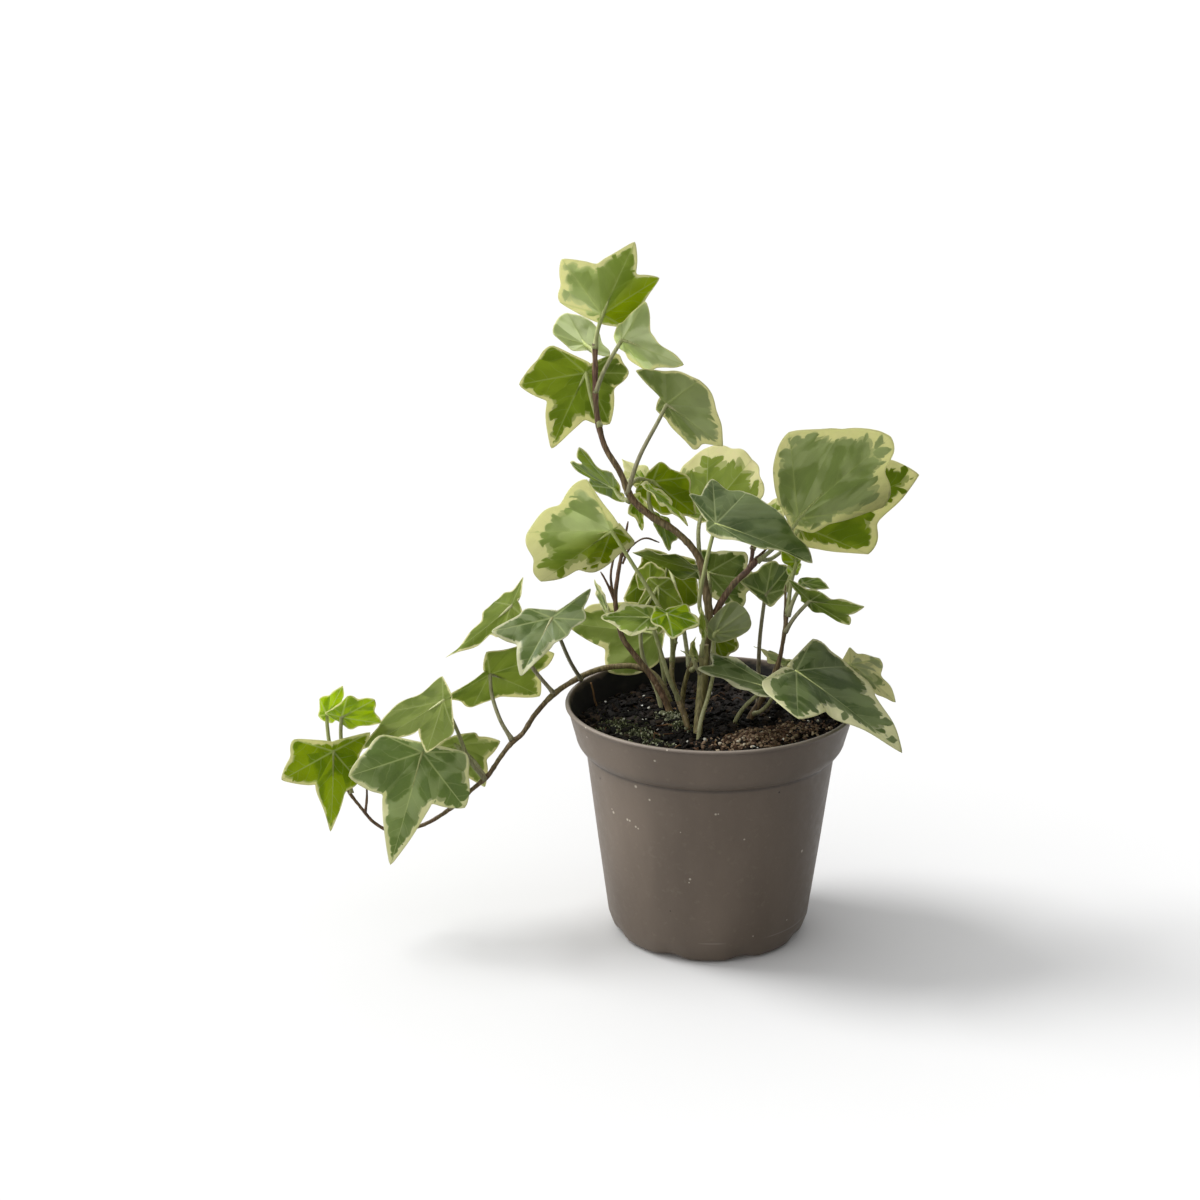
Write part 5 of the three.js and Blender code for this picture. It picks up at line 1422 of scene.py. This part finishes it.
def build_stage(stage):
    """The floor, the white room with its window light, and the camera of the photo."""
    scene = bpy.context.scene
    scene.view_settings.view_transform = "Standard"
    bm = bmesh.new()
    bmesh.ops.create_grid(bm, x_segments=8, y_segments=8, size=FLOOR_HALF)
    mesh = bpy.data.meshes.new("floor")
    bm.to_mesh(mesh)
    bm.free()
    floor_finish, tree, shader = new_material("pale_studio_floor")
    grain = add(tree, "ShaderNodeTexNoise", {0: object_pattern(tree, 400), 2: 1.0, 3: 2.0})
    shade = ramp(tree, grain, [(0.3, "dcdcdc"), (0.7, "e0e0e0")])
    feed(tree, shader, {"Base Color": shade, "Roughness": 0.9, "Specular IOR Level": 0.1})
    mesh.materials.append(floor_finish)
    floor = bpy.data.objects.new("floor", mesh)
    # It throws no light back, so the pot's shaded side stays dark.
    floor.visible_diffuse = False
    scene.collection.objects.link(floor)

    # A white room: bright above and on the window's side, dim on the other, white where it is seen.
    world = bpy.data.worlds.new("studio")
    world.use_nodes = True
    tree = world.node_tree
    way = add(tree, "ShaderNodeTexCoord").outputs["Generated"]
    window = add(tree, "ShaderNodeVectorMath", {0: way, 1: stage.window}, operation="DOT_PRODUCT")
    glow = add(tree, "ShaderNodeMapRange", {0: window.outputs["Value"], 1: -0.55, 2: 0.75,
                                            3: stage.fill * stage.dim, 4: stage.fill})
    seen = add(tree, "ShaderNodeLightPath").outputs["Is Camera Ray"]
    power = add(tree, "ShaderNodeMix", {0: seen, 2: glow, 3: 1.0}, data_type="FLOAT")
    feed(tree, tree.nodes["Background"], {"Color": (1, 1, 1, 1), "Strength": power})
    scene.world = world
    sun = bpy.data.lights.new("window_light", "SUN")
    sun.energy = stage.key
    sun.angle = stage.softness
    lamp = bpy.data.objects.new("window_light", sun)
    lamp.matrix_world = aim(stage.sun_from, (0, 0, 0))
    scene.collection.objects.link(lamp)

    camera = bpy.data.cameras.new("photo_view")
    camera.lens = CAMERA_LENS
    camera.sensor_width = CAMERA_SENSOR
    camera.sensor_fit = "HORIZONTAL"
    camera.clip_start = 0.05
    camera.clip_end = 200
    view = bpy.data.objects.new("photo_view", camera)
    turn = Matrix.Rotation(math.radians(CAMERA_YAW), 4, "Z")
    turn = turn @ Matrix.Rotation(math.radians(90 - CAMERA_DOWN), 4, "X")
    view.matrix_world = Matrix.Translation(CAMERA_PLACE) @ turn
    scene.collection.objects.link(view)
    scene.camera = view


# ---- add-on -------------------------------------------------------------------------------
def code(name, what, default):
    """A colour of the panel, as an sRGB code."""
    return bpy.props.StringProperty(name=name, description="sRGB code of " + what, default=default)


class IvyPotSizes(bpy.types.PropertyGroup):
    height: bpy.props.FloatProperty(
        name="Height", description="Height of the pot", default=0.1, min=0.09, max=0.11,
        subtype="DISTANCE", unit="LENGTH")
    rim_radius: bpy.props.FloatProperty(
        name="Rim radius", description="Outer radius of the pot's lip", default=0.06, min=0.054,
        max=0.066, subtype="DISTANCE", unit="LENGTH")
    wall: bpy.props.FloatProperty(
        name="Wall", description="Thickness of the pot's wall", default=0.0011, min=0.0008,
        max=0.002, subtype="DISTANCE", unit="LENGTH")
    tint: code("Plastic", "the plastic's lighter areas", "796b5d")
    shade: code("Plastic shade", "the plastic's darker areas", "66594c")


class IvySoilColours(bpy.types.PropertyGroup):
    moist: code("Moist soil", "the wettest soil", "17110d")
    brown: code("Damp soil", "the damp soil", "2b2018")
    dry: code("Dry soil", "the driest crumbs of the bed", "43352a")


class IvyShootColours(bpy.types.PropertyGroup):
    crevice: code("Bark crevices", "the bark's grooves", "3c291f")
    bark: code("Bark", "the bark", "624231")
    ridge: code("Bark ridges", "the bark's worn ridges", "8f705a")
    young: code("Young stem", "the green stems", "807b4a")


class IvyLeafColours(bpy.types.PropertyGroup):
    green: code("Green", "the deep green middle", "56691f")
    grey: code("Grey green", "the greyed leaves' middle", "96a67c")
    lime: code("Lime", "the youngest green", "99b206")
    cream: code("Cream", "the pale margin", "dfe0ac")
    veins: code("Veins", "the ribs and veins", "bfca92")


class IvyUndersideColours(bpy.types.PropertyGroup):
    green: code("Green below", "the middle's underside", "728524")
    grey: code("Grey green below", "the greyed underside", "c3c8a6")
    lime: code("Lime below", "the youngest green below", "9aad08")
    cream: code("Cream below", "the margin's underside", "e7e3ac")
    veins: code("Veins below", "the ribs below", "bac483")


class IvyStageSettings(bpy.types.PropertyGroup):
    fill: bpy.props.FloatProperty(
        name="Fill", description="Brightness of the white surroundings", default=1.2, min=0, max=3)
    dim: bpy.props.FloatProperty(
        name="Dim side", description="Share of the fill that the side away from the window gives",
        default=0.08, min=0, max=1, subtype="FACTOR")
    window: bpy.props.FloatVectorProperty(
        name="Window side", description="Direction that the fill comes from",
        default=(-0.8, 0.15, 0.58), subtype="DIRECTION")
    key: bpy.props.FloatProperty(
        name="Window light", description="Strength of the light on the left", default=2.35,
        min=0, max=20)
    softness: bpy.props.FloatProperty(
        name="Softness", description="Width of the window light", default=math.radians(26),
        min=0.02, max=2.0, subtype="ANGLE", unit="ROTATION")
    sun_from: bpy.props.FloatVectorProperty(
        name="Light from", description="Direction that the window light comes from",
        default=(-1.0, 0.25, 1.15), subtype="DIRECTION")


class IVY_OT_pot(bpy.types.Operator):
    """Builds the nursery pot"""
    bl_idname = "ivy.pot"
    bl_label = "Nursery Pot"

    def execute(self, context):
        build_pot(context.scene.ivy_pot)
        return {"FINISHED"}


class IVY_OT_soil(bpy.types.Operator):
    """Builds the bed of potting mix"""
    bl_idname = "ivy.soil"
    bl_label = "Soil"

    def execute(self, context):
        build_soil(context.scene.ivy_soil)
        return {"FINISHED"}


class IVY_OT_grit(bpy.types.Operator):
    """Scatters bark, grit, perlite, moss and root fibres on the soil"""
    bl_idname = "ivy.grit"
    bl_label = "Grit and Moss"

    def execute(self, context):
        build_grit()
        return {"FINISHED"}


class IVY_OT_shoots(bpy.types.Operator):
    """Builds the woody and the green shoots"""
    bl_idname = "ivy.shoots"
    bl_label = "Shoots"

    def execute(self, context):
        build_shoots(context.scene.ivy_shoots)
        return {"FINISHED"}


class IVY_OT_leaves(bpy.types.Operator):
    """Builds every leaf with its stalk"""
    bl_idname = "ivy.leaves"
    bl_label = "Leaves"

    def execute(self, context):
        build_leaves(context.scene.ivy_leaves, context.scene.ivy_undersides)
        return {"FINISHED"}


class IVY_OT_stage(bpy.types.Operator):
    """Sets up the floor, the lights and the camera"""
    bl_idname = "ivy.stage"
    bl_label = "Stage"

    def execute(self, context):
        build_stage(context.scene.ivy_stage)
        return {"FINISHED"}


OPERATORS = (IVY_OT_pot, IVY_OT_soil, IVY_OT_grit, IVY_OT_shoots, IVY_OT_leaves, IVY_OT_stage)
GROUPS = {"ivy_pot": IvyPotSizes, "ivy_soil": IvySoilColours, "ivy_shoots": IvyShootColours,
          "ivy_leaves": IvyLeafColours, "ivy_undersides": IvyUndersideColours,
          "ivy_stage": IvyStageSettings}


class IVY_PT_panel(bpy.types.Panel):
    """Lists the pieces of the potted ivy"""
    bl_idname = "IVY_PT_panel"
    bl_label = "Potted Ivy"
    bl_space_type = "VIEW_3D"
    bl_region_type = "UI"
    bl_category = "Potted Ivy"

    def draw(self, context):
        for operator in OPERATORS:
            self.layout.operator(operator.bl_idname)
        for place, group in GROUPS.items():
            box = self.layout.box()
            for name in group.__annotations__:
                box.prop(getattr(context.scene, place), name)


CLASSES = (*GROUPS.values(), *OPERATORS, IVY_PT_panel)


def register():
    for kind in CLASSES:
        bpy.utils.register_class(kind)
    for place, group in GROUPS.items():
        setattr(bpy.types.Scene, place, bpy.props.PointerProperty(type=group))


def unregister():
    for place in GROUPS:
        delattr(bpy.types.Scene, place)
    for kind in reversed(CLASSES):
        bpy.utils.unregister_class(kind)


def main():
    register()
    bpy.ops.ivy.stage()
    bpy.ops.ivy.pot()
    bpy.ops.ivy.soil()
    bpy.ops.ivy.grit()
    bpy.ops.ivy.shoots()
    bpy.ops.ivy.leaves()


if __name__ == "__main__":
    main()
